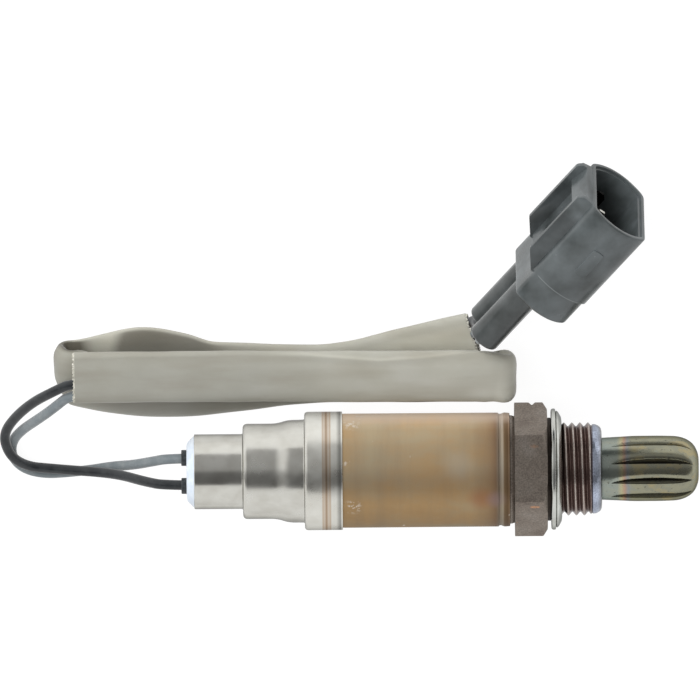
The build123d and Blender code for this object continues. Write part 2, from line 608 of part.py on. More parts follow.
def blade_terminal(y, z):
    """Blade with a crimp barrel on the lead's end, a shank and a chamfered tip."""
    crimp_start = LEAD_IN_TOWER + BLADE_CRIMP_OVERLAP - CRIMP_LENGTH
    crimp_end = crimp_start + CRIMP_LENGTH
    barrel = along_x(crimp_start, y, z, SEAL_BORE_R + CRIMP_WALL, CRIMP_LENGTH)
    barrel -= along_x(crimp_start - 1, y, z, SEAL_BORE_R, CRIMP_LENGTH + 1 - CRIMP_WALL)
    tip = BARREL_FRONT - BLADE_TIP_GAP
    half = BLADE_W / 2
    plan = Polyline(
        (crimp_end - CRIMP_WALL, y - half), (tip - 0.8, y - half), (tip, y - half + 0.6),
        (tip, y + half - 0.6), (tip - 0.8, y + half), (crimp_end - CRIMP_WALL, y + half), close=True)
    blade = Pos(0, 0, z) * extrude(make_face(plan), amount=BLADE_T / 2, both=True)
    return laid(barrel + blade)


def wire_seal(y, z):
    """Ribbed rubber seal between a lead and the bore of its tower."""
    rib_r = TOWER_BORE_D / 2 - PRESS_GAP
    seal = along_x(WIRE_SEAL_START, y, z, rib_r - 0.35, WIRE_SEAL_LENGTH)
    pitch = WIRE_SEAL_LENGTH / WIRE_SEAL_RIBS
    for n in range(WIRE_SEAL_RIBS):
        seal += along_x(WIRE_SEAL_START + (n + 0.25) * pitch, y, z, rib_r, pitch / 2)
    seal -= along_x(WIRE_SEAL_START - 1, y, z, SEAL_BORE_R, WIRE_SEAL_LENGTH + 2)
    return laid(seal)


def terminal_retainer():
    """Plate at the bottom of the mouth that locks both blades."""
    plate = oval_block(BARREL_WALL + LOOSE_GAP, CAVITY_FLOOR, CAVITY_FLOOR + RETAINER_T)
    for y, z in tower_centres():
        plate -= Pos(CAVITY_FLOOR, y, z) * Box(
            3 * RETAINER_T, BLADE_W + 2 * SLIDE_GAP, BLADE_T + 2 * SLIDE_GAP)
    return laid(plate)


BLACK_ROUTE = lead_route(BLACK_HOLE, BLACK_LOOP, BLACK_SHIFT, BLACK_BRIDGE, -TOWER_PITCH / 2)
GREY_ROUTE = lead_route(GREY_HOLE, GREY_LOOP, GREY_SHIFT, GREY_BRIDGE, TOWER_PITCH / 2)

parts = {
    "protection_tube": protection_tube(),
    "sensor_body": sensor_body(),
    "gasket": gasket(),
    "protective_sleeve": protective_sleeve(),
    "rear_shell": rear_shell(),
    "grommet": grommet(),
    "lead_seal_grey": lead_seal(GREY_HOLE),
    "lead_seal_black": lead_seal(BLACK_HOLE),
    "zirconia_thimble": zirconia_thimble(),
    "thimble_seal_ring": thimble_seal_ring(),
    "talc_ring": talc_ring(),
    "support_tube": support_tube(),
    "disc_spring": disc_spring(),
    "contact_bush": contact_bush(),
    "terminal_insulator": terminal_insulator(),
    "signal_terminal": signal_terminal(),
    "ground_terminal": ground_terminal(),
    "black_lead": lead(BLACK_ROUTE),
    "grey_lead": lead(GREY_ROUTE),
    "heat_sleeve": heat_sleeve(),
    "connector_housing": connector_housing(),
    "terminal_retainer": terminal_retainer(),
}
for number, (tower_y, tower_z) in enumerate(tower_centres(), start=1):
    parts[f"blade_terminal_{number}"] = blade_terminal(tower_y, tower_z)
    parts[f"wire_seal_{number}"] = wire_seal(tower_y, tower_z)

os.makedirs("parts", exist_ok=True)
for name, shape in parts.items():
    export_step(shape, f"parts/{name}.step")

for name, route in (("black lead", BLACK_ROUTE), ("grey lead", GREY_ROUTE), ("heat sleeve", SLEEVE_ROUTE)):
    radii = ", ".join(f"{radius:.1f}" for radius in arc_radii(route))
    print(f"{name}: length {routed(route).length:.1f} mm, arc radii {radii}")
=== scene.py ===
import math

import bmesh
import bpy
import numpy as np
from mathutils import Matrix


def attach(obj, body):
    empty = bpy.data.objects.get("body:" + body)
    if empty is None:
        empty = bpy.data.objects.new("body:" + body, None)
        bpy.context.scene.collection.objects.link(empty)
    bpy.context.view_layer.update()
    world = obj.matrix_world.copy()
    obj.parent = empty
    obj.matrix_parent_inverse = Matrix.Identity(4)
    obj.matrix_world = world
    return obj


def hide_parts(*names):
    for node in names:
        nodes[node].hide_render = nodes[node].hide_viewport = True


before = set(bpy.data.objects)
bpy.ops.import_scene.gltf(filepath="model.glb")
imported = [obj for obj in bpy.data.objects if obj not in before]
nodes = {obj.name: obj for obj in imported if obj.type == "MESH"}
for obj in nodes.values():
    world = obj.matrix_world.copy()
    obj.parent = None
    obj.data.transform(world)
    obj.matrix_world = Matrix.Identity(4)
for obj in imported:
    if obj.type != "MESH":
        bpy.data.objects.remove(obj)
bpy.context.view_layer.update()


# Camera
# A long lens from four and a half metres away, leaning 34 degrees from straight down, with the sensor
# level across the picture. It looks at the middle of the sensor, its sleeve and its connector.
LEAN = math.radians(34)
VIEW_WIDTH = 0.1317
CAMERA_DISTANCE = 4.5
CAMERA_ROLL = 0.0077
VIEW_CENTRE = np.array([-0.01676, 0.01882, -0.00006])

level = np.array([1.0, 0.0, 0.0])
upward = np.array([0.0, math.cos(LEAN), -math.sin(LEAN)])
toward_camera = np.array([0.0, math.sin(LEAN), math.cos(LEAN)])


def new_object(name, data):
    """An object of the scene, at the origin."""
    made = bpy.data.objects.new(name, data)
    bpy.context.scene.collection.objects.link(made)
    return made


place = Matrix.Identity(4)
for row in range(3):
    place[row][0] = level[row] - CAMERA_ROLL * upward[row]
    place[row][1] = upward[row] + CAMERA_ROLL * level[row]
    place[row][2] = toward_camera[row]
    place[row][3] = VIEW_CENTRE[row] + CAMERA_DISTANCE * toward_camera[row]
lens = bpy.data.cameras.new("camera")
lens.sensor_width = 36.0
lens.lens = lens.sensor_width * CAMERA_DISTANCE / VIEW_WIDTH
lens.clip_start = 0.05
lens.clip_end = 60.0
camera = new_object("camera", lens)
camera.matrix_world = place
bpy.context.scene.camera = camera
bpy.context.scene.view_settings.view_transform = "Standard"


# Leads
# Two stranded wires in smooth extruded insulation, 1.9 mm thick. They come out of the end plug,
# loop back into the flat sleeve, fold twice with it and end in the connector's two towers.
LEAD_DIAMETER = 0.0019
LEAD_COLOURS = {"black": ((30, 33, 36), (48, 51, 53)), "grey": ((112, 120, 124), (132, 138, 140))}
HOLE_SPACING = 0.00526
AXIS_HEIGHT = 0.012632

# Centre line of the sleeve: top layer, right fold, middle layer, left fold, bottom layer. The sleeve
# itself ends at its mouth, a little to one side of where the leads go on.
SLEEVE_ROUTE = [
    (-68.5, 19.5, 9.55), (-41.0, 19.7, 9.6), (-13.0, 19.2, 9.5), (2.0, 19.4, 9.6), (9.0, 19.1, 9.55),
    (13.0, 18.4, 9.55), (13.0, 17.2, 5.65),
    (9.0, 16.4, 5.6), (2.0, 16.6, 5.7), (-12.0, 16.5, 5.6), (-26.0, 16.7, 5.7), (-37.5, 14.8, 5.65),
    (-49.0, 13.4, 5.65), (-60.0, 14.0, 5.65), (-67.0, 16.1, 5.65),
    (-71.0, 17.0, 5.65), (-71.0, 17.2, 1.75),
    (-67.0, 17.5, 1.75), (-61.0, 19.4, 1.8), (-54.5, 20.2, 1.75), (-48.0, 18.0, 1.8),
    (-41.0, 16.2, 1.75), (-29.0, 15.6, 1.8), (-18.0, 15.5, 1.75), (-7.0, 18.9, 1.8), (4.8, 22.4, 2.5),
]
SLEEVE_MOUTH = (6.5, 22.9, 2.55)
# For each lead: the stretch to the sleeve, how far it lies to one side of the sleeve's middle at
# the sleeve's two ends, the stretch from the sleeve, and its two points at the connector.
LEAD_ROUTES = {
    "black": (
        [(-31.66, -2.1803, 14.1025), (-51.2, -2.1803, 14.1025), (-55.6, -3.3, 10.9), (-60.0, -4.7, 6.6),
         (-64.4, -5.9, 3.8), (-69.0, -6.3, 2.6), (-73.6, -6.2, 2.0), (-77.6, -5.6, 2.2),
         (-80.6, -2.9, 3.3), (-82.0, 0.6, 3.3), (-81.8, 3.4, 3.3), (-79.8, 7.3, 4.4),
         (-76.5, 12.0, 6.6), (-72.8, 15.8, 8.9)],
        (-0.9, 3.4),
        [(6.7, 27.4, 2.7)],
        [(7.729, 29.373, 6.9), (13.781, 37.080, 6.9)],
    ),
    "grey": (
        [(-31.66, 2.1803, 11.1614), (-50.6, 2.1803, 11.1614), (-54.2, -0.2, 8.8), (-57.8, -2.9, 5.9),
         (-61.6, -5.4, 2.6), (-65.5, -7.1, 1.2), (-70.0, -7.8, 1.0), (-74.6, -8.1, 1.0),
         (-78.6, -6.9, 1.0), (-80.9, -3.8, 1.0), (-80.5, 0.0, 1.4), (-78.5, 3.6, 3.2),
         (-75.9, 7.6, 6.2), (-73.0, 11.7, 8.8)],
        (-3.0, 1.3),
        [(7.4, 25.2, 3.4), (7.6, 27.2, 8.4)],
        [(7.729, 29.373, 13.1), (13.781, 37.080, 13.1)],
    ),
}


def smooth_line(name, points_mm, resolution=10):
    """A NURBS curve of order 3 with the route's points, in metres, as its control points."""
    curve = bpy.data.curves.new(name, "CURVE")
    curve.dimensions = "3D"
    spline = curve.splines.new("NURBS")
    points = np.array(points_mm, float) * 0.001
    spline.points.add(len(points) - 1)
    spline.points.foreach_set("co", np.column_stack([points, np.ones(len(points))]).ravel())
    spline.order_u = 3
    spline.use_endpoint_u = True
    spline.resolution_u = resolution
    return new_object(name, curve)


def as_colour(value):
    """A colour as shaders take it: one number is a grey, and three are screen values from 0 to 255."""
    if isinstance(value, (int, float)):
        return value, value, value, 1.0
    if len(value) == 4:
        return value
    share = np.array(value) / 255
    linear = np.where(share <= 0.04045, share / 12.92, ((share + 0.055) / 1.055) ** 2.4)
    return (*linear.tolist(), 1.0)


def new_tree(name):
    """An empty material, its node tree and the object coordinates in it."""
    material = bpy.data.materials.new(name)
    material.use_nodes = True
    material.node_tree.nodes.clear()
    return material, material.node_tree, object_place(material.node_tree)


def put(tree, kind, inputs=None, **settings):
    """Adds a node. Inputs, by name or number, are set to values or linked to sockets."""
    node = tree.nodes.new("ShaderNode" + kind)
    for key, value in settings.items():
        setattr(node, key, value)
    for key, value in (inputs or {}).items():
        if isinstance(value, bpy.types.NodeSocket):
            tree.links.new(value, node.inputs[key])
        else:
            node.inputs[key].default_value = value
    return node


def ramp(tree, factor, stops, smooth=False):
    """A colour ramp over the factor, from stops of a position and a colour."""
    node = put(tree, "ValToRGB", {"Fac": factor})
    band = node.color_ramp
    band.interpolation = "EASE" if smooth else "LINEAR"
    while len(band.elements) < len(stops):
        band.elements.new(0.5)
    for element, (position, colour) in zip(band.elements, stops):
        element.position = position
        element.color = as_colour(colour)
    return node.outputs["Color"]


def mix(tree, factor, first, second, mode="MIX"):
    """Mixes two colours, given as values or sockets."""
    node = put(tree, "Mix", data_type="RGBA", blend_type=mode)
    for key, value in (("Factor_Float", factor), ("A_Color", first), ("B_Color", second)):
        socket = next(s for s in node.inputs if s.identifier == key)
        if isinstance(value, bpy.types.NodeSocket):
            tree.links.new(value, socket)
        else:
            socket.default_value = value if key == "Factor_Float" else as_colour(value)
    return next(s for s in node.outputs if s.identifier == "Result_Color")


def multiplied(tree, tone, by):
    """One colour times another."""
    return mix(tree, 1.0, tone, by, "MULTIPLY")


def maths(tree, operation, *values, clamp=False):
    """The result of one operation on values or sockets."""
    return put(tree, "Math", dict(enumerate(values)), operation=operation, use_clamp=clamp).outputs[0]


def dot(tree, vector, direction):
    """How far a vector goes in a direction of length 1."""
    return put(tree, "VectorMath", {0: vector, 1: tuple(direction)}, operation="DOT_PRODUCT").outputs["Value"]


def between(tree, value, low, high, curve="LINEAR"):
    """A factor that runs from 0 where the value is low to 1 where it is high."""
    return put(tree, "MapRange", {"Value": value, "From Min": low, "From Max": high},
               interpolation_type=curve).outputs["Result"]


def noise(tree, where, scale, detail=2, roughness=0.5):
    """Cloudy noise from 0 to 1."""
    return put(tree, "TexNoise", {"Vector": where, "Scale": scale, "Detail": detail,
                                  "Roughness": roughness}).outputs["Fac"]


def attribute(tree, name):
    """A value that the mesh holds for each point."""
    return put(tree, "Attribute", attribute_name=name).outputs["Fac"]


def bumped(tree, height, strength, distance):
    """The normal of a surface with this height in relief."""
    return put(tree, "Bump", {"Strength": strength, "Distance": distance, "Height": height}).outputs[0]


def shader(tree, colour, roughness, normal=None, metallic=0.0, edge=1.0, extra=None):
    """The Principled shader, joined to the material's output. Edge is the grey that tints what it
    mirrors at a grazing angle."""
    inputs = {"Base Color": colour, "Roughness": roughness, "Metallic": metallic,
              "Specular Tint": as_colour(edge), **(extra or {})}
    if normal is not None:
        inputs["Normal"] = normal
    put(tree, "OutputMaterial", {"Surface": put(tree, "BsdfPrincipled", inputs).outputs[0]})


def object_place(tree, scale=(1, 1, 1), location=(0, 0, 0)):
    """Object coordinates in metres, moved and scaled."""
    coordinates = put(tree, "TexCoord").outputs["Object"]
    mapping = put(tree, "Mapping", {"Vector": coordinates, "Scale": scale, "Location": location})
    return mapping.outputs["Vector"]


def insulation_material(name, colour, dusty):
    """Extruded insulation: an even colour with dust and rubbed stretches, and a soft gloss."""
    material, tree, where = new_tree(name)
    cloud = noise(tree, where, 420, 5, 0.6)
    fine = noise(tree, where, 5200)
    tone = mix(tree, ramp(tree, cloud, [(0.42, 0), (0.68, 1)]), colour, dusty)
    gloss = ramp(tree, cloud, [(0.35, 0.3), (0.7, 0.42)])
    shader(tree, tone, gloss, bumped(tree, fine, 0.12, 0.00004))
    return material


sleeve_points = np.array(SLEEVE_ROUTE)
wires = {}
for colour, (loop, shift, bridge, tower) in LEAD_ROUTES.items():
    aside = np.linspace(shift[0], shift[1], len(sleeve_points))
    inside = sleeve_points + aside[:, None] * np.array([0, 1, 0])
    lead = smooth_line(colour + "_lead_wire", loop + inside.tolist() + bridge + tower, resolution=12)
    lead.data.bevel_depth = LEAD_DIAMETER / 2
    lead.data.bevel_resolution = 6
    lead.data.use_fill_caps = True
    lead.data.materials.append(insulation_material(colour + "_insulation", *LEAD_COLOURS[colour]))
    wires[colour] = lead
    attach(lead, "root")
    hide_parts(colour + "_lead")


# Heat sleeve
# Flat tube of braided glass yarn with a satin silicone coating, cut square at both ends.
# It holds both leads and is folded twice, so three layers lie on each other.
SLEEVE_HALF_WIDTH = 0.0056
SLEEVE_HALF_THICKNESS = 0.0017
SLEEVE_WALL = 0.00055
SLEEVE_STATIONS = 520
SLEEVE_COLUMNS = 96
FACE_SINK = 0.00028
CREASE_HEIGHT = 0.00014
FLOOR_GAP = 0.00002
SOFTENING = 7


def line_points(line):
    """The points of a curve without bevel, in order from its start."""
    mesh = bpy.data.meshes.new_from_object(line)
    points = np.zeros(len(mesh.vertices) * 3)
    mesh.vertices.foreach_get("co", points)
    bpy.data.meshes.remove(mesh)
    return points.reshape(-1, 3)


def spaced(points, count):
    """Points at even distances along a line of points, and how far along each one lies."""
    run = np.concatenate([[0], np.cumsum(np.linalg.norm(np.diff(points, axis=0), axis=1))])
    along = np.linspace(0, run[-1], count)
    return np.column_stack([np.interp(along, run, points[:, k]) for k in range(3)]), along


def soft(values, width):
    """A running mean over the first axis, with the ends held."""
    kernel = np.hanning(2 * width + 3)[1:-1]
    kernel /= kernel.sum()
    padded = np.concatenate([np.repeat(values[:1], width, 0), values, np.repeat(values[-1:], width, 0)])
    return np.column_stack([np.convolve(column, kernel, "valid") for column in padded.T])


def unit(vectors):
    """The same directions with length 1."""
    return vectors / np.linalg.norm(vectors, axis=-1, keepdims=True)


def grid_mesh(name, grid, sharp=40, **values):
    """A mesh of quads over a grid of points, rows along and columns around, merged where points meet.
    Each further value, given for every point of the grid, becomes an attribute of the mesh."""
    rows, columns = grid.shape[:2]
    mesh = bpy.data.meshes.new(name)
    first = np.arange(rows - 1)[:, None] * columns
    steps = np.arange(columns)
    following = (steps + 1) % columns
    faces = np.stack([first + steps, first + following, first + columns + following,
                      first + columns + steps], axis=-1).reshape(-1, 4)
    mesh.from_pydata(grid.reshape(-1, 3), [], faces)
    for key, value in values.items():
        layer = mesh.attributes.new(key, "FLOAT", "POINT")
        layer.data.foreach_set("value", np.asarray(value, np.float32).ravel())
    tidy(mesh, sharp)
    return mesh


def tidy(mesh, sharp=40):
    """Merges points that meet, turns the faces outwards and smooths all but the sharp edges."""
    shape = bmesh.new()
    shape.from_mesh(mesh)
    bmesh.ops.remove_doubles(shape, verts=shape.verts, dist=2e-7)
    bmesh.ops.dissolve_degenerate(shape, edges=shape.edges, dist=1e-8)
    bmesh.ops.recalc_face_normals(shape, faces=shape.faces)
    shape.to_mesh(mesh)
    shape.free()
    mesh.polygons.foreach_set("use_smooth", np.ones(len(mesh.polygons), bool))
    mesh.set_sharp_from_angle(angle=math.radians(sharp))


def add_piece(mesh, material, slot, *replaced):
    """Puts a mesh in the scene as a piece that rides on the object."""
    piece = new_object(mesh.name, mesh)
    mesh.materials.append(material)
    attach(piece, "root")
    if replaced:
        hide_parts(*replaced)
    return piece


guide = smooth_line("sleeve_guide", SLEEVE_ROUTE[:-1] + [SLEEVE_MOUTH], resolution=24)
sleeve_line, along = spaced(line_points(guide), SLEEVE_STATIONS)
bpy.data.objects.remove(guide)
tangent = unit(np.gradient(sleeve_line, axis=0))
side = np.tile([0.0, 1.0, 0.0], (SLEEVE_STATIONS, 1))
side = unit(side - (side * tangent).sum(1, keepdims=True) * tangent)
normal = np.cross(tangent, side)
x_here = sleeve_line[:, :1] * 1000
station = np.arange(SLEEVE_STATIONS)[:, None]
fold_right = int(np.argmax(x_here))
fold_left = fold_right + int(np.argmin(x_here[fold_right:]))
top, bottom = station <= fold_right, station > fold_left
middle = ~(top | bottom)


def stretch(layer, x_mm, values):
    """Values given at places along X, spread softly over the stations of one layer."""
    return soft(np.where(layer, np.interp(x_here, x_mm, values), 0.0), SOFTENING)


def rises(value, start, end):
    """0 at the start, 1 at the end and even between them."""
    return np.clip((value - start) / (end - start), 0, 1)


def hump(value, peak, reach):
    """A bell curve, 1 at its peak and about a third of that at its reach."""
    return np.exp(-((value - peak) / reach) ** 2)


# Each layer bulges out from under the one above, and the near edge of the middle one curls down.
# The places and the amounts are in millimetres.
out_by = 0.001 * stretch(
    bottom, [-73, -70, -67, -61.7, -56.4, -52.8, -48.3, -44.9, -41.4, -35.7, -26, -10, 8],
    [-0.4, -0.4, -0.5, -0.5, 0, -0.05, 0.2, -0.5, -0.1, 0.2, 0, 0.2, 0.2])
curl = 0.001 * stretch(middle, [-73, -66, -58, -40, -30, -22, 14], [0, 0.6, 1.5, 1.5, 0.8, 0, 0])
near_by = 0.001 * stretch(
    middle, [-73, -66, -56, -40, -30, -22, 9, 12, 14], [0, 0.5, 1.0, 1.1, 0.6, 0, 0, -0.2, -0.3])
far_by = 0.001 * stretch(middle, [-73, -71.5, -69, -66.5, -64, 14], [0.3, 0.9, 1.2, 0.9, 0, 0])
hollow = 0.001 * stretch(bottom, [-66, -60, -56, -47, -42, -36, 8], [0, 0.1, 0.2, 0.2, 0.1, 0, 0])
squeeze = 0.001 * stretch(bottom, [-73, -71, -68, -64, -61, 8], [0.8, 1.2, 1.3, 0.6, 0, 0])
at_left_fold = hump(x_here, -72.2, 2.8) * ~top
at_right_fold = rises(x_here, 9.0, 12.5) * ~bottom
crease_at = np.interp(x_here, [-70, -34, -24.5, -11.3, -1.9, 6.6, 14], [0.9, 0.98, 0.97, 0.8, 0.9, 1.05, 1.1])
up = np.where(middle, -1.0, 1.0)

# The section is a round squared off by two powers, with across and depth from -1 to 1.
turn = np.linspace(0, 2 * math.pi, SLEEVE_COLUMNS, endpoint=False)
across = np.sign(np.cos(turn)) * np.abs(np.cos(turn)) ** 0.8
depth = np.sign(np.sin(turn)) * np.abs(np.sin(turn)) ** 0.92
near, far = np.clip(-across, 0, 1), np.clip(across, 0, 1)


def sleeve_skin(inset):
    """Points of the sleeve's outer or inner skin: a flattened round whose faces sink between its edges,
    moved sideways, curled and hollowed by the amounts of each station."""
    ripple = ((0.10 * np.sin(along * 260 + 0.6) + 0.07 * np.sin(along * 610 + 2.0)) * 0.001)[:, None]
    upper = np.clip(depth * up, 0, 1)
    width = (SLEEVE_HALF_WIDTH - inset + 0.4 * ripple) * across
    width = (width + out_by - near_by * near ** 2 + far_by * far ** 2) * (1 - 0.12 * at_right_fold)
    height = (SLEEVE_HALF_THICKNESS - inset) * depth - FACE_SINK * np.sign(depth) * (1 - across ** 2) ** 2
    height = height + CREASE_HEIGHT * hump(across, crease_at, 0.07) * top * (depth > 0)
    height = height + 0.9 * ripple * (1 - across ** 2)
    height = height - hollow * upper * hump(across, 0.3, 0.45) - squeeze * upper * far ** 2
    skin = sleeve_line[:, None] + side[:, None] * width[..., None] + normal[:, None] * height[..., None]
    skin[..., 2] -= curl * near ** 2
    skin[..., 0] += 0.0026 * at_left_fold * near ** 1.6
    return skin


# Painted shade darkens the coating where the layers shade each other: in the slit at the left fold,
# on the bottom layer under the top one's edge, on the middle layer below it, and along the far edges
# of the top and bottom layers. Painted light brightens the top layer towards the right, its crease with
# a darker line beside it, the bottom layer, the right fold and a patch next to it. The pale lines along
# the top layer's edges are partly wear and partly painted highlight.
over = rises(depth * up, 0.12, 0.42)
under_rim = over * rises(x_here - 2.4 * across, -62.8, -60.6)
painted_shade = over * stretch(bottom, [-73, -71.5, -70.5, -67, -65.5, -61.5, 8], [0, 0.6, 1.4, 1.4, 0.5, 0, 0])
painted_shade = painted_shade + under_rim * stretch(bottom, [-66, -64, -44, -39, -30, 8], [0, 0.76, 0.76, 0.3, 0, 0])
painted_shade = painted_shade + stretch(middle, [-73, -68, -60, -40, -28, -20, 14], [0, 0.1, 0.5, 0.55, 0.6, 0.4, 0.2]) \
    * np.clip(3 * near, 0, 1) * (1.25 - 0.95 * near ** 3)
painted_shade = painted_shade + 0.9 * hump(x_here, -70.5, 2.2) * ~top * (1 - np.clip(2.5 * depth * up, 0, 1))
painted_shade = np.clip(painted_shade, 0, 1)
wear_and_painted_light = stretch(top, [-70, -40, -20, 10], [0.10, 0.08, 0, 0]) * hump(np.abs(across), 0.97, 0.05)
wear_and_painted_light = wear_and_painted_light + stretch(top, [-70, -40, -20, 10], [0, 0.02, 0.26, 0.26])
wear_and_painted_light = wear_and_painted_light + stretch(top, [-34, -24, -8, 4, 9], [0, 0.35, 0.35, 0.25, 0]) * (depth > 0) \
    * (hump(across, crease_at, 0.05) - 0.4 * hump(across, crease_at - 0.16, 0.1))
wear_and_painted_light = wear_and_painted_light + stretch(bottom, [-73, -66, -60, -50, -44, -36, 8], [0.2, 0.4, 0.5, 0.4, 0.5, 0.5, 0.5])
shading = 0.5 - 0.5 * painted_shade + 0.5 * wear_and_painted_light * (1 - painted_shade)
shading = shading - top * (0.04 * (1 - across) * (depth > 0) + 0.07 * rises(across, 0.6, 0.9))
shading = shading + 0.25 * stretch(bottom, [-36, -20, 0, 8], [0, 0.5, 1, 1]) * rises(across, 0.75, 0.55)
shading = shading - 0.12 * stretch(bottom, [-44, -36, 0, 8], [0, 1, 1, 1]) * rises(across, 0.7, 0.9)
shading = shading + 0.42 * rises(x_here, 10.5, 14.0) * ~bottom
shading = shading + 0.12 * hump(x_here, 9.0, 3.5) * hump(across, -0.55, 0.3) * top
shading = shading + 0.05 * stretch(top, [-26, -14, 8, 14], [0, 1, 1, 1])

outer = sleeve_skin(0.0)
inner = sleeve_skin(SLEEVE_WALL)
outer[..., 2] = np.maximum(outer[..., 2], FLOOR_GAP)
sleeve_grid = np.concatenate([outer, inner[::-1], outer[:1]])
shading_grid = np.concatenate([shading, 0 * shading, shading[:1]])
sleeve_mesh = grid_mesh("heat_sleeve_braid", sleeve_grid, sharp=60, shading=shading_grid)

material, tree, where = new_tree("sleeve_silicone")
cloud = noise(tree, where, 90, 4, 0.55)
smudge = noise(tree, object_place(tree, (60, 260, 260)), 1.0, 5)
weave = put(tree, "TexWave", {"Vector": where, "Scale": 900, "Distortion": 4.0, "Detail": 1},
            wave_type="BANDS", bands_direction="DIAGONAL").outputs["Fac"]
fine = noise(tree, where, 2600)
tone = ramp(tree, cloud, [(0.3, (198, 196, 182)), (0.7, (210, 209, 198))])
tone = mix(tree, ramp(tree, smudge, [(0.42, 0), (0.7, 0.55)]), tone, (182, 176, 160))
# The shading attribute's painted light and shade darken and lighten the coating.
shading_tone = ramp(tree, attribute(tree, "shading"), [(0.0, (0.17, 0.16, 0.145, 1)), (0.5, 0.62), (1.0, 1)])
tone = multiplied(tree, tone, shading_tone)
gloss = ramp(tree, cloud, [(0.3, 0.42), (0.7, 0.52)])
relief = maths(tree, "ADD", weave, fine)
shader(tree, tone, gloss, bumped(tree, relief, 0.10, 0.00005), extra={"Specular IOR Level": 0.45})
sleeve = add_piece(sleeve_mesh, material, "sleeve_silicone", "heat_sleeve")

# Cut glass yarns stand out of both open ends as short pale stubs.
STUBS = 64
STUB_RADIUS = 0.0002
STUB_SIDES = 6
chance = np.random.default_rng(4)
stubs = []
for end, outward in ((0, -1), (-1, 1)):
    rim_points = 0.5 * (outer + inner)[end]
    ring = spaced(np.concatenate([rim_points, rim_points[:1]]), STUBS + 1)[0][:-1]
    lean_out = chance.normal(0, 0.00004, (STUBS, 3))
    length = chance.uniform(0.00025, 0.00045, (STUBS, 1))
    foot = ring - outward * tangent[end] * 0.0002
    head = ring + outward * tangent[end] * length + lean_out
    angle = np.linspace(0, 2 * math.pi, STUB_SIDES, endpoint=False)
    circle = np.cos(angle)[:, None] * side[end] + np.sin(angle)[:, None] * normal[end]
    stubs.append(np.stack([foot[:, None] + 0 * circle, foot[:, None] + STUB_RADIUS * circle,
                           head[:, None] + STUB_RADIUS * 0.8 * circle, head[:, None] + 0 * circle], axis=1))
stubs = np.concatenate(stubs)
first = 4 * STUB_SIDES * np.arange(len(stubs))[:, None, None] + STUB_SIDES * np.arange(3)[:, None]
step = np.arange(STUB_SIDES)
after = (step + 1) % STUB_SIDES
second = first + STUB_SIDES
stub_faces = np.stack([first + step, first + after, second + after, second + step], axis=-1)
stub_mesh = bpy.data.meshes.new("cut_yarns")
stub_mesh.from_pydata(stubs.reshape(-1, 3), [], stub_faces.reshape(-1, 4))
tidy(stub_mesh, 60)
material, tree, where = new_tree("glass_yarn")
cloud = noise(tree, where, 2600)
tone = ramp(tree, cloud, [(0.35, (176, 174, 160)), (0.65, (222, 220, 210))])
shader(tree, tone, 0.6)
cut_ends = add_piece(stub_mesh, material, None)


# Rear shell
# Nickel plated steel cup, drawn in three steps and rolled in round the end plug. A laser weld
# near its wide end joins it to the sleeve inside and leaves a brown seam.
SHELL_PROFILE = [
    (-18.35, 10.75, 0), (-18.35, 11.15, 0.12), (-25.49, 11.15, 0.95), (-25.49, 9.725, 0.25),
    (-28.40, 9.725, 2.0), (-30.66, 8.975, 2.0), (-37.10, 8.975, 1.1), (-37.10, 7.05, 0.3),
    (-46.24, 7.05, 0.35), (-46.24, 6.72, 0.1), (-45.9, 6.68, 0), (-30.0, 6.68, 0), (-18.35, 10.75, 0),
]
TURNS = 192
CRIMP_X, CRIMP_REACH, CRIMP_DEPTH, CRIMP_FLATS = -0.0272, 0.0016, 0.00006, 9


def rounded(corners, steps=7):
    """A profile through the corners, in metres, each one cut by a curve of its own reach."""
    points = np.array([corner[:2] for corner in corners]) * 0.001
    line = [points[:1]]
    t = np.linspace(0, 1, steps)[:, None]
    for before, here, after, corner in zip(points, points[1:], points[2:], corners[1:]):
        back, ahead = before - here, after - here
        reach = min(corner[2] * 0.001, 0.48 * np.linalg.norm(back), 0.48 * np.linalg.norm(ahead))
        if reach == 0:
            line.append(here[None])
            continue
        start, end = here + unit(back) * reach, here + unit(ahead) * reach
        line.append((1 - t) ** 2 * start + 2 * t * (1 - t) * here + t ** 2 * end)
    line.append(points[-1:])
    return np.concatenate(line)


def divided(profile, step):
    """The same profile with points no further apart than the step."""
    parts = []
    for start, end in zip(profile, profile[1:]):
        count = max(1, int(math.ceil(np.linalg.norm(end - start) / step)))
        parts.append(start + (end - start) * (np.arange(count) / count)[:, None])
    return np.concatenate(parts + [profile[-1:]])


def revolved(profile, columns=TURNS, swell=None):
    """Each profile point (x, r) becomes a ring round the sensor's axis; swell adds to r by x and angle."""
    angle = np.linspace(0, 2 * math.pi, columns, endpoint=False)
    x = np.repeat(profile[:, :1], columns, 1)
    r = np.repeat(profile[:, 1:], columns, 1)
    if swell is not None:
        r = r + swell(x, r, np.broadcast_to(angle, x.shape))
    return np.stack([x, r * np.cos(angle), AXIS_HEIGHT + r * np.sin(angle)], axis=-1)


def crimp(x, r, angle):
    """Flats that the drawing tool leaves on the flare, a few hundredths of a millimetre deep."""
    strength = hump(x, CRIMP_X, CRIMP_REACH) * (r > 0.0088)
    return -CRIMP_DEPTH * strength * (1 - np.cos(CRIMP_FLATS * angle + 1.2))


def new_group(name, given, results):
    """An empty node group with these inputs and outputs, floats apart from the one called Vector."""
    group = bpy.data.node_groups.new(name, "ShaderNodeTree")
    for side_of, labels in (("INPUT", given), ("OUTPUT", results)):
        for label in labels:
            kind = "NodeSocketVector" if label == "Vector" else "NodeSocketFloat"
            group.interface.new_socket(name=label, in_out=side_of, socket_type=kind)
    return group, group.nodes.new("NodeGroupInput").outputs, group.nodes.new("NodeGroupOutput").inputs


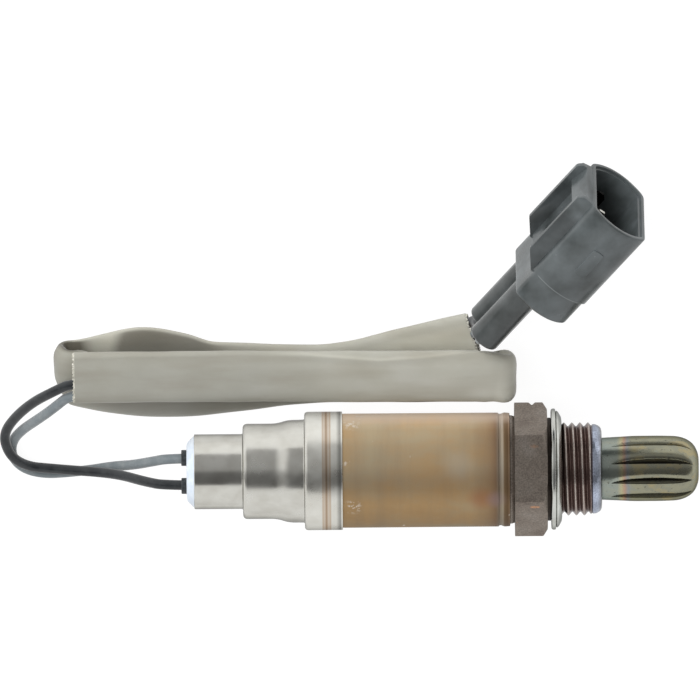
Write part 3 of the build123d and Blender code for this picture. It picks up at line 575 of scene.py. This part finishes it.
def marks_group():
    """Node group: fine turning marks round the axis, stretched noise that changes fast along X."""
    group, given, result = new_group("turning_marks", ("Vector", "Scale"), ("Height", "Tone"))
    squeezed = put(group, "VectorMath", {0: given["Vector"], 1: (1, 0.02, 0.02)}, operation="MULTIPLY")
    group.links.new(noise(group, squeezed.outputs[0], given["Scale"], 3), result["Height"])
    group.links.new(noise(group, given["Vector"], 260, 5), result["Tone"])
    return group


def speck_group():
    """Node group: small scattered specks, where a fine noise passes a high threshold."""
    group, given, result = new_group("specks", ("Vector", "Scale", "Threshold"), ("Mask",))
    cloud = noise(group, given["Vector"], given["Scale"], 3, 0.65)
    over = maths(group, "SUBTRACT", cloud, given["Threshold"])
    group.links.new(maths(group, "MULTIPLY", over, 18.0, clamp=True), result["Mask"])
    return group


turning_marks = marks_group()
specks = speck_group()


def use_group(tree, group, **inputs):
    """The outputs of a shared node group."""
    return put(tree, "Group", inputs, node_tree=group).outputs


def along_axis(tree, start_mm, end_mm):
    """A factor that runs from 0 at one station of the sensor's axis to 1 at another."""
    parts = put(tree, "SeparateXYZ", {"Vector": put(tree, "TexCoord").outputs["Object"]})
    return between(tree, parts.outputs["X"], start_mm * 0.001, end_mm * 0.001)


def up_picture(tree, half_mm):
    """A factor that runs over the sensor's visible side, from its far edge at 0 to its near edge at 1."""
    height = dot(tree, put(tree, "TexCoord").outputs["Object"], upward)
    middle = upward[2] * AXIS_HEIGHT
    return between(tree, height, middle - half_mm * 0.001, middle + half_mm * 0.001)


def around_point(tree, x_mm, up_mm, radius_mm, inner_mm, outer_mm, strength=1.0):
    """A factor of full strength round a point of the sensor's visible side, 0 beyond the outer distance.
    The point is given by its station, its height in the picture and the radius of the surface there."""
    towards = math.sqrt(radius_mm ** 2 - up_mm ** 2)
    point = (x_mm * 0.001, (up_mm * upward[1] - towards * upward[2]) * 0.001,
             AXIS_HEIGHT + (up_mm * upward[2] + towards * upward[1]) * 0.001)
    apart = put(tree, "VectorMath", {0: put(tree, "TexCoord").outputs["Object"], 1: point},
                operation="DISTANCE").outputs["Value"]
    share = between(tree, apart, outer_mm * 0.001, inner_mm * 0.001, "SMOOTHSTEP")
    return maths(tree, "MULTIPLY", strength, share)


material, tree, where = new_tree("bright_steel")
marks = use_group(tree, turning_marks, Vector=where, Scale=5200.0)
dirt = use_group(tree, specks, Vector=where, Scale=1300.0, Threshold=0.72)
tone = ramp(tree, marks["Tone"], [(0.35, (208, 206, 198)), (0.65, (222, 221, 214))])
tone = mix(tree, dirt["Mask"], tone, (182, 179, 170))
seam = ramp(tree, along_axis(tree, -23.0, -19.8), [
    (0.22, 0), (0.3, 0.8), (0.36, 0.45), (0.43, 0.7), (0.5, 1.0), (0.56, 0.75), (0.64, 0.4), (0.72, 0.85),
    (0.8, 0)])
seam_tone = ramp(tree, along_axis(tree, -21.9, -20.9), [
    (0.3, (190, 166, 138)), (0.5, (124, 102, 80)), (0.7, (190, 166, 138))])
tone = mix(tree, seam, tone, mix(tree, marks["Height"], seam_tone, (176, 152, 130)))
over_shell = along_axis(tree, -46.3, -18.3)
# Painted light and shade: each step of the cup is made brighter or darker, with a dark and then a bright band
# at the wide end.
steps = ramp(tree, over_shell, [
    (0.0, 0.96), (0.32, 0.96), (0.33, 0.98), (0.73, 0.98), (0.76, 1.1), (0.955, 1.1), (0.975, 0.6),
    (0.985, 0.5), (0.992, 1.2)])
tone = multiplied(tree, tone, steps)
gloss = ramp(tree, marks["Tone"], [(0.3, 0.15), (0.75, 0.26)])
wider = ramp(tree, over_shell, [(0.32, 1.0), (0.33, 1.2), (0.73, 1.2), (0.76, 1.6)])
gloss = multiplied(tree, gloss, wider)
shader(tree, tone, gloss, bumped(tree, marks["Height"], 0.10, 0.00003), metallic=1.0, edge=0.35)
shell_profile = divided(rounded(SHELL_PROFILE), 0.0006)
add_piece(grid_mesh("rear_shell_cup", revolved(shell_profile, swell=crimp), sharp=30), material,
          "bright_steel", "rear_shell")


# End plug
# White cone of sintered fluoroplastic that the shell's rolled end holds. Two holes let the leads
# out, each with a dark rubber collar.
PLUG_PROFILE = [
    (-36.2, 6.6, 0), (-46.24, 6.7, 0.2), (-46.3, 6.72, 0.25), (-47.67, 5.45, 0.7), (-47.67, 0.0, 0),
]
COLLAR_PROFILE = [
    (-46.0, 0.96, 0), (-46.0, 1.52, 0), (-48.67, 1.52, 0.3), (-48.67, 1.12, 0.12), (-48.2, 0.96, 0.1),
    (-46.0, 0.96, 0),
]
material, tree, where = new_tree("white_ptfe")
cloud = noise(tree, where, 700, 4)
tone = ramp(tree, cloud, [(0.35, (212, 223, 236)), (0.7, (228, 236, 245))])
shader(tree, tone, 0.42, bumped(tree, cloud, 0.1, 0.00004), extra={
    "Subsurface Weight": 0.15, "Subsurface Radius": (0.001, 0.001, 0.001), "Subsurface Scale": 0.5})
add_piece(grid_mesh("end_plug", revolved(rounded(PLUG_PROFILE)), sharp=50), material, "white_ptfe", "grommet")

material, tree, where = new_tree("dark_rubber")
cloud = noise(tree, where, 1600, 4)
tone = ramp(tree, cloud, [(0.35, (32, 36, 38)), (0.7, (58, 62, 64))])
shader(tree, tone, 0.5, bumped(tree, cloud, 0.2, 0.00005))
for hole, sign in (("grey", 1), ("black", -1)):
    aside = sign * HOLE_SPACING / 2
    hole_centre = np.array([0, aside * math.cos(LEAN), -aside * math.sin(LEAN)])
    collar = revolved(rounded(COLLAR_PROFILE), 48) + hole_centre
    add_piece(grid_mesh("lead_collar_" + hole, collar), material, "dark_rubber", "lead_seal_" + hole)


# Protective sleeve
# Steel tube tanned by heat, brushed round, with a groove and a rolled lip next to the hexagon.
TINTED_RADIUS = 10.7
TINTED_PROFILE = [
    (-24.8, 10.3, 0), (-24.8, 10.75, 0.1), (10.95, 10.72, 0.15), (11.1, 10.5, 0.1), (11.5, 10.5, 0.12),
    (11.72, 10.62, 0.15), (12.1, 10.74, 0.4), (13.14, 10.66, 0.5), (13.14, 10.25, 0.1), (-24.8, 10.3, 0),
]
material, tree, where = new_tree("tinted_steel")
marks = use_group(tree, turning_marks, Vector=where, Scale=6500.0)
cloud = noise(tree, object_place(tree, (70, 110, 110), (2.3, 0.4, 0)), 1.0, 5, 0.62)
wisps = noise(tree, object_place(tree, (240, 26, 26)), 1.0, 6, 0.7)
tan = ramp(tree, cloud, [
    (0.32, (224, 210, 182)), (0.44, (230, 208, 174)), (0.58, (236, 204, 160)), (0.75, (232, 198, 152))])
tan = mix(tree, ramp(tree, wisps, [(0.45, 0), (0.7, 0.35)]), tan, (196, 180, 158))
over_tube = along_axis(tree, -18.35, 13.2)
heat = ramp(tree, over_tube, [
    (0.0, (214, 190, 160)), (0.5, (214, 186, 150)), (0.80, (206, 172, 132)), (0.867, (192, 160, 128)),
    (0.91, (172, 142, 118)), (0.925, (176, 160, 144)), (0.945, (206, 196, 182)), (0.955, (220, 210, 196)),
    (0.962, (160, 138, 112)), (0.985, (146, 120, 94)), (0.992, (190, 166, 142)), (1.0, (150, 124, 104))])
rim = ramp(tree, over_tube, [(0.78, 0.0), (0.88, 0.6), (0.93, 1.0)])
tone = mix(tree, rim, tan, heat)
pale_marks = use_group(tree, specks, Vector=object_place(tree, (1, 0.5, 0.5)), Scale=420.0, Threshold=0.71)
lit_side = ramp(tree, up_picture(tree, TINTED_RADIUS), [
    (0.0, (0.40, 0.37, 0.33, 1)), (0.06, (0.44, 0.41, 0.36, 1)), (0.19, (0.50, 0.46, 0.39, 1)),
    (0.33, (0.44, 0.40, 0.34, 1)), (0.41, (0.46, 0.43, 0.39, 1)), (0.55, (0.54, 0.52, 0.48, 1)),
    (0.72, (0.57, 0.53, 0.47, 1)), (0.85, (0.62, 0.57, 0.50, 1)), (0.94, (0.82, 0.79, 0.76, 1)),
    (1.0, (0.98, 0.98, 1.0, 1))])
haze = around_point(tree, 3.4, 0.8, TINTED_RADIUS, 0.5, 4.2, 0.5)
blush = around_point(tree, 7.6, -5.4, TINTED_RADIUS, 0.3, 3.4, 0.55)
tone = mix(tree, haze, tone, (236, 230, 216))
tone = mix(tree, blush, tone, (214, 150, 116))
tone = multiplied(tree, tone, lit_side)
# Painted light: a pale pink band along the tube's upper edge as the camera sees it.
pink_top_light = ramp(tree, up_picture(tree, TINTED_RADIUS), [(0.9, 0), (0.96, 0.55), (1.0, 0.5)])
tone = mix(tree, pink_top_light, tone, (224, 204, 186))
mauve = around_point(tree, 10.4, -5.6, TINTED_RADIUS, 0.3, 2.6, 0.5)
tone = mix(tree, mauve, tone, (140, 120, 122))
tone = mix(tree, pale_marks["Mask"], tone, (214, 204, 190))
flakes = use_group(tree, specks, Vector=where, Scale=1100.0, Threshold=0.53)
for x_mm, up_mm, outer_mm in ((-16.6, 8.8, 2.3), (-15.4, 10.0, 1.6), (-17.4, 1.4, 0.9), (-16.4, -6.8, 2.2)):
    scuff = around_point(tree, x_mm, up_mm, 10.75, 0.4, outer_mm, 0.7)
    tone = mix(tree, maths(tree, "MULTIPLY", scuff, flakes["Mask"]), tone, (226, 218, 206))
gloss = ramp(tree, cloud, [(0.3, 0.48), (0.7, 0.58)])
shader(tree, tone, gloss, bumped(tree, marks["Height"], 0.16, 0.00003), metallic=0.6, edge=0.4)
tinted_profile = divided(rounded(TINTED_PROFILE), 0.0008)
add_piece(grid_mesh("tinted_sleeve", revolved(tinted_profile), sharp=35), material, "tinted_steel",
          "protective_sleeve")


# Sensor body
# Turned and heat blackened steel: a 22 mm hexagon with chamfered corners and a nick in one,
# a collar, an M18 x 1.5 right-hand thread and a plain end ring.
HEX_START, HEX_END = 14.02, 20.19
HEX_APOTHEM = 11.0
CORNER_ROUNDING = 0.00012
THREAD_PITCH = 1.5
THREAD_PHASE = 24.87
THREAD_START, THREAD_END = 22.2, 28.62
RIDGE_HEIGHT, ROOT_DEPTH = 0.00068, 0.00018
FINE_START, FINE_END = 0.0222, 0.0287
NICK_X, NICK_HALF_WIDTH, NICK_DEPTH = 17.35, 0.6, 0.00055
NICK_HALF_ANGLE = math.radians(5.5)
BODY_PROFILE = [
    (10.0, 10.2, 0), (13.5, 10.2, 0.2), (14.05, 10.0, 0.1), (14.05, 9.4, 0), (20.1, 9.4, 0),
    (20.1, 9.7, 0), (20.85, 9.7, 0.2), (21.1, 8.25, 0.2), (22.4, 8.25, 0), (28.6, 8.25, 0),
    (28.66, 8.42, 0.15), (29.3, 8.42, 0.45), (30.2, 7.9, 0.5), (30.43, 7.15, 0.3), (30.43, 5.9, 0),
    (30.0, 5.9, 0),
]
up_angle = math.atan2(upward[2], upward[1])


def thread_swell(x, r, angle):
    """Adds a rounded V ridge that climbs one pitch a turn, between the relief and the end ring."""
    turns = (angle - up_angle) / (2 * math.pi)
    phase = (x * 1000 - THREAD_PHASE) / THREAD_PITCH - turns
    ridge = rises(1 - 2 * np.abs(phase - np.round(phase)), 0.12, 0.88)
    start = rises(x * 1000, THREAD_START, THREAD_START + 0.5)
    end = rises(x * 1000, THREAD_END, THREAD_END - 0.35)
    return (RIDGE_HEIGHT * ridge - ROOT_DEPTH) * np.minimum(start, end)


def hexagon_swell(x, r, angle):
    """Trims a round profile to six flats, with one corner nicked by a V."""
    sixth = math.pi / 3
    turn_in = np.mod(angle - up_angle + sixth / 2, sixth) - sixth / 2
    flat_r = HEX_APOTHEM * 0.001 / np.cos(np.abs(turn_in) - sixth / 2)
    corner_r = HEX_APOTHEM * 0.001 / math.cos(sixth / 2) - CORNER_ROUNDING
    limit = np.minimum(flat_r, corner_r)
    nick_x = np.clip(1 - np.abs(x * 1000 - NICK_X) / NICK_HALF_WIDTH, 0, 1)
    near = np.abs(np.mod(angle - up_angle + math.pi, 2 * math.pi) - math.pi) < NICK_HALF_ANGLE
    trimmed = np.minimum(r, limit) - NICK_DEPTH * nick_x * near
    return np.where(r > 0.0105, trimmed - r, 0)


material, tree, where = new_tree("oxidised_steel")
marks = use_group(tree, turning_marks, Vector=where, Scale=4200.0)
grain = noise(tree, where, 3400, 4, 0.7)
rust = use_group(tree, specks, Vector=where, Scale=620.0, Threshold=0.70)
tone = ramp(tree, marks["Tone"], [(0.3, (138, 127, 118)), (0.5, (150, 140, 130)), (0.7, (160, 151, 142))])
tone = mix(tree, rust["Mask"], tone, (176, 122, 86))
over_end = along_axis(tree, 20.0, 31.0)
# Painted shade: the collar between the hexagon and the gasket is dark.
end_zone = ramp(tree, over_end, [
    (0.0, (62, 54, 48)), (0.08, (62, 54, 48)), (0.22, (128, 104, 98)), (0.6, (134, 110, 106)),
    (0.77, (140, 132, 134)), (0.80, (196, 206, 228)), (0.88, (200, 210, 230)), (0.95, (150, 150, 150))])
# Painted highlight and shade on the thread: its crests are pale lines and its flanks are darker.
painted_crest_light = ramp(tree, attribute(tree, "crest"), [
    (0.0, (92, 72, 67)), (0.5, (128, 106, 100)), (0.86, (134, 114, 108)), (0.98, (190, 179, 172))])
threaded = ramp(tree, over_end, [(0.22, 0), (0.25, 1), (0.76, 1), (0.78, 0)])
end_zone = multiplied(tree, end_zone, ramp(tree, marks["Tone"], [(0.38, 0.62), (0.6, 1.0)]))
end_zone = mix(tree, threaded, end_zone, painted_crest_light)
for up_mm in (4.35, -7.2):
    for x_mm, size in ((17.7, 0.42), (18.3, 0.3), (17.2, 0.3)):
        fleck = around_point(tree, x_mm, up_mm, 12.2, 0.1, size + 0.25, 0.8)
        tone = mix(tree, fleck, tone, (228, 170, 128))
beyond = ramp(tree, over_end, [(0.014, 0), (0.022, 0.9)])
tone = mix(tree, beyond, tone, end_zone)
gloss = ramp(tree, over_end, [(0.05, 0.5), (0.2, 0.22)])
tone = multiplied(tree, tone, ramp(tree, grain, [(0.36, 0.62), (0.62, 1.05)]))
shader(tree, tone, gloss, bumped(tree, grain, 0.5, 0.00005), metallic=0.85, edge=0.6)
body_profile = rounded(BODY_PROFILE)
# The thread's stretch has fine rings and the rest has coarse ones, with the end ring's corners.
fine_part = divided(body_profile, 0.00011)
coarse_part = divided(body_profile, 0.002)
fine_x, fine_r = fine_part.T
coarse_x, coarse_r = coarse_part.T
thread_zone = fine_part[(fine_x > FINE_START) & (fine_x < FINE_END) & (fine_r < 0.0084)]
rear_part = coarse_part[coarse_x <= FINE_START]
front_part = coarse_part[(coarse_x >= FINE_END) | ((coarse_x > 0.0286) & (coarse_r > 0.0084))]
body_rings = np.concatenate([rear_part, thread_zone, front_part, coarse_part[-1:]])
body_grid = revolved(body_rings, 240, thread_swell)
from_axis = np.hypot(body_grid[..., 1], body_grid[..., 2] - AXIS_HEIGHT) * 1000
body_mesh = grid_mesh("turned_body", body_grid, sharp=50, crest=np.clip((from_axis - 8.1) / 0.65, 0, 1))
add_piece(body_mesh, material, "oxidised_steel", "sensor_body")
hex_profile = divided(rounded([
    (HEX_START, 9.3, 0), (HEX_START, 12.5, 0.1), (HEX_START + 0.2, 12.85, 0), (HEX_END - 1.0, 12.85, 0),
    (HEX_END, 11.3, 0.15), (HEX_END, 9.3, 0), (HEX_START, 9.3, 0)]), 0.00022)
hexagon_mesh = grid_mesh("hexagon", revolved(hex_profile, 720, hexagon_swell), sharp=22)
add_piece(hexagon_mesh, material, "oxidised_steel")


# Gasket
# Captive sealing ring: bright sheet folded on itself, so that a seam runs round its edge.
GASKET_PROFILE = [
    (21.0, 9.05, 0), (20.95, 10.6, 0.3), (20.85, 11.15, 0.25), (21.15, 11.42, 0.3), (21.7, 11.38, 0.15),
    (21.82, 10.8, 0.1), (21.95, 11.05, 0.12), (22.3, 10.75, 0.3), (22.85, 9.75, 0.4), (22.91, 9.05, 0),
    (21.0, 9.05, 0),
]
material, tree, where = new_tree("gasket_steel")
marks = use_group(tree, turning_marks, Vector=where, Scale=5200.0)
tone = ramp(tree, marks["Tone"], [(0.3, (190, 190, 183)), (0.7, (218, 220, 215))])
shader(tree, tone, 0.24, bumped(tree, marks["Height"], 0.1, 0.00003), metallic=1.0, edge=0.3)
add_piece(grid_mesh("folded_gasket", revolved(divided(rounded(GASKET_PROFILE), 0.0005)), sharp=35), material,
          "gasket_steel", "gasket")


# Protection tube
# Thin drawn cap over the ceramic tip. Ten louvres are slit along it and pressed in on one side,
# and exhaust heat has given it straw, red and blue oxide bands at the root.
LOUVRES = 10
LOUVRE_START, LOUVRE_END = 32.2, 47.3
LOUVRE_PRESS = 0.0004
LOUVRE_DEPTH = 0.0013
LOUVRE_OPENING = 0.27
FIRST_EDGE = math.radians(12.0)
TUBE_PROFILE = [
    (29.8, 5.83, 0), (30.6, 5.84, 0.3), (33.6, 6.0, 1.0), (36.4, 6.2, 1.2), (41.4, 6.24, 1.6),
    (44.6, 6.1, 1.2), (46.3, 5.6, 1.2), (47.8, 4.5, 1.4), (48.67, 2.6, 1.4), (48.67, 0.0, 0),
]
tube_profile = divided(rounded(TUBE_PROFILE, 9), 0.00022)
sector = 2 * math.pi / LOUVRES
phase = np.concatenate([np.linspace(0.0, 1.0, 37), [1.0]])
pressed = np.ones(len(phase))
pressed[-1] = 0
tube_angles = np.concatenate([(n + phase) * sector for n in range(LOUVRES)]) + FIRST_EDGE
phase, pressed = np.tile(phase, LOUVRES), np.tile(pressed, LOUVRES)
# Each opening is a lens along the tube: its width follows a sine, fuller near the tip. The sheet on
# its upper side is pressed in towards it, and between that lip and the edge the sheet is pressed deep
# and painted dark, as painted shade for the inside.
length_share = rises(tube_profile[:, :1] * 1000, LOUVRE_START, LOUVRE_END)
width = LOUVRE_OPENING * np.sin(math.pi * length_share ** 1.15) ** 0.6 + 1e-6
beyond_lip = rises(phase, 1 - width, 1)
lip = rises(phase, 0.7 - width, 1 - width) ** 2
fullness = np.clip(width / LOUVRE_OPENING * 1.6, 0, 1)
dent = (LOUVRE_PRESS * lip + LOUVRE_DEPTH * np.clip(beyond_lip * 5, 0, 1)) * fullness * pressed
slot_shade = rises(phase, 1 - width, 1.05 - width) * (length_share > 0) * (length_share < 1) * pressed
radius = tube_profile[:, 1:] - dent
tube_grid = np.stack([np.repeat(tube_profile[:, :1], len(tube_angles), 1), radius * np.cos(tube_angles),
                      AXIS_HEIGHT + radius * np.sin(tube_angles)], axis=-1)
tube_mesh = grid_mesh("louvred_tube", tube_grid, sharp=50, inside=slot_shade)

material, tree, where = new_tree("louvre_steel")
cloud = noise(tree, object_place(tree, (180, 330, 330)), 1.0, 5, 0.6)
film = ramp(tree, cloud, [
    (0.28, (140, 146, 138)), (0.42, (156, 154, 132)), (0.52, (146, 146, 130)), (0.62, (168, 158, 124)),
    (0.72, (144, 146, 136))])
band_place = maths(tree, "MULTIPLY_ADD", cloud, 0.12, along_axis(tree, 30.4, 40.0))
band = ramp(tree, band_place, [
    (0.0, (150, 162, 160)), (0.36, (158, 166, 158)), (0.44, (196, 188, 150)),
    (0.50, (190, 152, 132)), (0.56, (144, 150, 164)), (0.64, (156, 154, 134))])
band_mask = ramp(tree, band_place, [(0.5, 0.75), (0.7, 0)])
tone = mix(tree, band_mask, film, band)
spot = use_group(tree, specks, Vector=where, Scale=1500.0, Threshold=0.64)
tone = mix(tree, spot["Mask"], tone, (92, 92, 82))
# Painted shade: the pressed sheet within each opening is dark and matt.
slot = attribute(tree, "inside")
tone = mix(tree, slot, tone, (24, 22, 18))
gloss = ramp(tree, cloud, [(0.3, 0.2), (0.7, 0.32)])
gloss = mix(tree, slot, gloss, 0.8)
bare_metal = maths(tree, "SUBTRACT", 1.0, slot)
shader(tree, tone, gloss, bumped(tree, cloud, 0.08, 0.00005), metallic=bare_metal, edge=0.3)
add_piece(tube_mesh, material, "louvre_steel", "protection_tube")


# Connector
# Moulded glass-filled nylon housing, satin with a faint cloudy grain, with painted shade on its rails and
# deep in its mouth, a tinned blade, a second blade painted dark as painted shade, and the retainer plate
# at the bottom of its mouth.
HOUSING_REAR = np.array([0.01011, 0.02852, 0.010])
HEADING = math.radians(51.86)
AHEAD = np.array([math.cos(HEADING), math.sin(HEADING), 0.0])
LATCHWARD = np.array([-math.sin(HEADING), math.cos(HEADING), 0.0])
MOUTH_FLOOR, MOUTH_RIM = 0.0220, 0.0382
MOUTH_HALF_THICKNESS, MOUTH_HALF_HEIGHT = 0.0050, 0.0088


def moulded(name, low, high, gloss_low, gloss_high, further=None):
    """Moulded plastic: cloudy tone, fine grain and a satin gloss. A further function changes the tone."""
    material, tree, where = new_tree(name)
    cloud = noise(tree, where, 170, 3, 0.5)
    tone = ramp(tree, cloud, [(0.3, low), (0.72, high)])
    if further:
        tone = further(tree, where, tone)
    gloss = ramp(tree, cloud, [(0.3, gloss_low), (0.7, gloss_high)])
    shader(tree, tone, gloss, bumped(tree, noise(tree, where, 5200), 0.14, 0.00004))
    return material


def housing_zones(tree, where, tone):
    """Darkens the collar behind the barrel, paints shade on the rails up to the latch and deep in the mouth,
    and paints a pale highlight across the barrel where it steps down to the collar. Distances are in
    millimetres from its rear."""
    ahead_mm, latchward_mm = (
        maths(tree, "MULTIPLY_ADD", dot(tree, where, way), 1000.0, -1000 * float(HOUSING_REAR @ way))
        for way in (AHEAD, LATCHWARD))
    behind_collar = between(tree, ahead_mm, 14.0, 13.4)
    tone = mix(tree, behind_collar, tone, multiplied(tree, tone, (0.72, 0.70, 0.68, 1)))
    over_barrel = between(tree, latchward_mm, 5.9, 6.3)
    rails = maths(tree, "MULTIPLY", over_barrel, between(tree, ahead_mm, 34.0, 32.5))
    tone = mix(tree, rails, tone, multiplied(tree, tone, 0.6))
    step_highlight = ramp(tree, between(tree, ahead_mm, 19.6, 20.7), [(0.3, 0), (0.5, 0.7), (0.7, 0)], smooth=True)
    step_highlight = multiplied(tree, step_highlight, between(tree, latchward_mm, 5.4, 5.0))
    tone = mix(tree, step_highlight, tone, (122, 128, 128))
    return mix(tree, attribute(tree, "inside"), tone, (58, 62, 62))


def metal(name, colour, roughness):
    """Plain sheet metal with faint marks."""
    material, tree, where = new_tree(name)
    marks = use_group(tree, turning_marks, Vector=where, Scale=3000.0)
    tone = mix(tree, marks["Tone"], colour, (*[0.8 * c for c in as_colour(colour)[:3]], 1))
    shader(tree, tone, roughness, bumped(tree, marks["Height"], 0.1, 0.00003), metallic=1.0)
    return material


def dress(material, *names):
    """Gives a CAD node its finished material."""
    for name in names:
        mesh = nodes[name].data
        mesh.materials.clear()
        mesh.materials.append(material)


# The housing is the drawn one with its points merged, its edges softened and painted shade marked deep
# in its mouth.
housing_mesh = nodes["connector_housing"].data.copy()
housing_mesh.name = "moulded_housing"
tidy(housing_mesh, 30)
points = np.zeros(len(housing_mesh.vertices) * 3)
housing_mesh.vertices.foreach_get("co", points)
points = points.reshape(-1, 3) - HOUSING_REAR
ahead, latchward = points @ AHEAD, points @ LATCHWARD
within = (np.abs(latchward) < MOUTH_HALF_THICKNESS) & (np.abs(points[:, 2]) < MOUTH_HALF_HEIGHT) \
    & (ahead > MOUTH_FLOOR - 0.0001)
mouth_shade = np.clip((MOUTH_RIM - 0.0006 - ahead) / 0.006, 0, 1) * within
layer = housing_mesh.attributes.new("inside", "FLOAT", "POINT")
layer.data.foreach_set("value", mouth_shade.astype(np.float32))
housing_mesh.materials.clear()
plastic = moulded("connector_plastic", (59, 64, 64), (96, 102, 104), 0.18, 0.28, housing_zones)
housing = add_piece(housing_mesh, plastic, "connector_plastic", "connector_housing")
softened = housing.modifiers.new("soft_edges", "BEVEL")
softened.width = 0.00022
softened.segments = 2
softened.limit_method = "ANGLE"
softened.angle_limit = math.radians(40)
dress(moulded("retainer_plastic", (50, 54, 54), (62, 66, 66), 0.45, 0.6), "terminal_retainer")
dress(moulded("seal_silicone", (120, 58, 44), (140, 70, 54), 0.5, 0.6), "wire_seal_1", "wire_seal_2")
dress(metal("tinned_brass", (205, 204, 196), 0.3), "blade_terminal_1")
# Painted shade: the second blade is painted dark, as it sits in the dark of the mouth.
dress(metal("shaded_brass", (26, 26, 25), 0.7), "blade_terminal_2")


# Inside of the sensor
# Pressed and fired ceramics, powder packing, a spring washer and nickel contact parts, none of
# which shows from outside.
dress(moulded("zirconia", (226, 222, 210), (238, 236, 228), 0.4, 0.5), "zirconia_thimble")
dress(moulded("talc", (216, 212, 200), (230, 226, 216), 0.7, 0.9), "talc_ring")
dress(moulded("steatite", (222, 218, 206), (236, 232, 222), 0.45, 0.6),
      "support_tube", "terminal_insulator")
dress(metal("seal_copper", (196, 138, 106), 0.4), "thimble_seal_ring")
dress(metal("spring_steel", (170, 170, 168), 0.35), "disc_spring")
dress(metal("nickel", (208, 204, 194), 0.3), "contact_bush", "signal_terminal", "ground_terminal")


# Floor, light and backdrop
# A plain pale table that keeps a faint shadow, a bright room, and a dark stretch of ceiling
# round the camera that gives the bright steel its grey bands.
floor_mesh = bpy.data.meshes.new("floor")
FLOOR_REACH = 1.5
corners = [(FLOOR_REACH * x, FLOOR_REACH * y, 0) for x, y in ((-1, -1), (1, -1), (1, 1), (-1, 1))]
floor_mesh.from_pydata(corners, [], [(0, 1, 2, 3)])
floor = new_object("floor", floor_mesh)
material, tree, _ = new_tree("pale_table")
rays = put(tree, "LightPath").outputs
seen = maths(tree, "MAXIMUM", rays["Is Camera Ray"], rays["Is Glossy Ray"])
seen = maths(tree, "MAXIMUM", seen, rays["Is Transmission Ray"])
table = put(tree, "BsdfDiffuse", {"Color": (0.82, 0.82, 0.82, 1)})
faint = put(tree, "BsdfDiffuse", {"Color": (0.16, 0.16, 0.16, 1)})
glow = put(tree, "Emission", {"Color": (1, 1, 1, 1), "Strength": 0.93})
bright = put(tree, "AddShader", {0: faint.outputs[0], 1: glow.outputs[0]})
mixed = put(tree, "MixShader", {0: seen, 1: table.outputs[0], 2: bright.outputs[0]})
put(tree, "OutputMaterial", {"Surface": mixed.outputs[0]})
floor_mesh.materials.append(material)

world = bpy.data.worlds.new("studio")
bpy.context.scene.world = world
world.use_nodes = True
tree = world.node_tree
tree.nodes.clear()
# The ramp goes once round the sensor's axis, and the room is brighter behind the sensor's rear end.
direction = put(tree, "TexCoord").outputs["Generated"]
slope = maths(tree, "ARCTAN2", dot(tree, direction, upward), dot(tree, direction, toward_camera))
sky = ramp(tree, between(tree, slope, -math.pi, math.pi), [
    (0.379, 1.0), (0.389, 0.13), (0.49, 0.17), (0.515, 0.42), (0.66, 0.48), (0.68, 1.0)])
sideways = put(tree, "SeparateXYZ", {"Vector": direction}).outputs["X"]
rearward = put(tree, "MapRange", {"Value": sideways, "From Min": -0.22, "From Max": -0.5, "To Min": 1.0,
                                  "To Max": 2.4}).outputs["Result"]
sky = put(tree, "VectorMath", {0: sky, "Scale": rearward}, operation="SCALE").outputs[0]
sky = put(tree, "VectorMath", {0: sky, 1: (1, 1, 1)}, operation="MINIMUM").outputs[0]
sky_light = put(tree, "Background", {"Color": sky, "Strength": 0.9})
put(tree, "OutputWorld", {"Surface": sky_light.outputs[0]})


def lamp(name, where_from, size, power):
    """A square soft lamp that points at the middle of the object from a point given in metres."""
    light = bpy.data.lights.new(name, "AREA")
    light.shape = "SQUARE"
    light.size = size
    light.energy = power
    source = new_object(name, light)
    source.visible_glossy = False
    back = unit(np.array(where_from) - VIEW_CENTRE)
    right = unit(np.cross([0, 1, 0.01], back))
    top = np.cross(back, right)
    for row in range(3):
        source.matrix_world[row][0] = right[row]
        source.matrix_world[row][1] = top[row]
        source.matrix_world[row][2] = back[row]
        source.matrix_world[row][3] = where_from[row]


lamp("key", (-0.35, 0.55, 0.95), 0.6, 4.0)
lamp("rim", (-0.45, 1.0, 0.42), 0.5, 7.0)
# The bright shell doesn't mirror the lead set, which would break up its grey bands.
for hidden in (sleeve, cut_ends, *wires.values()):
    hidden.visible_glossy = False
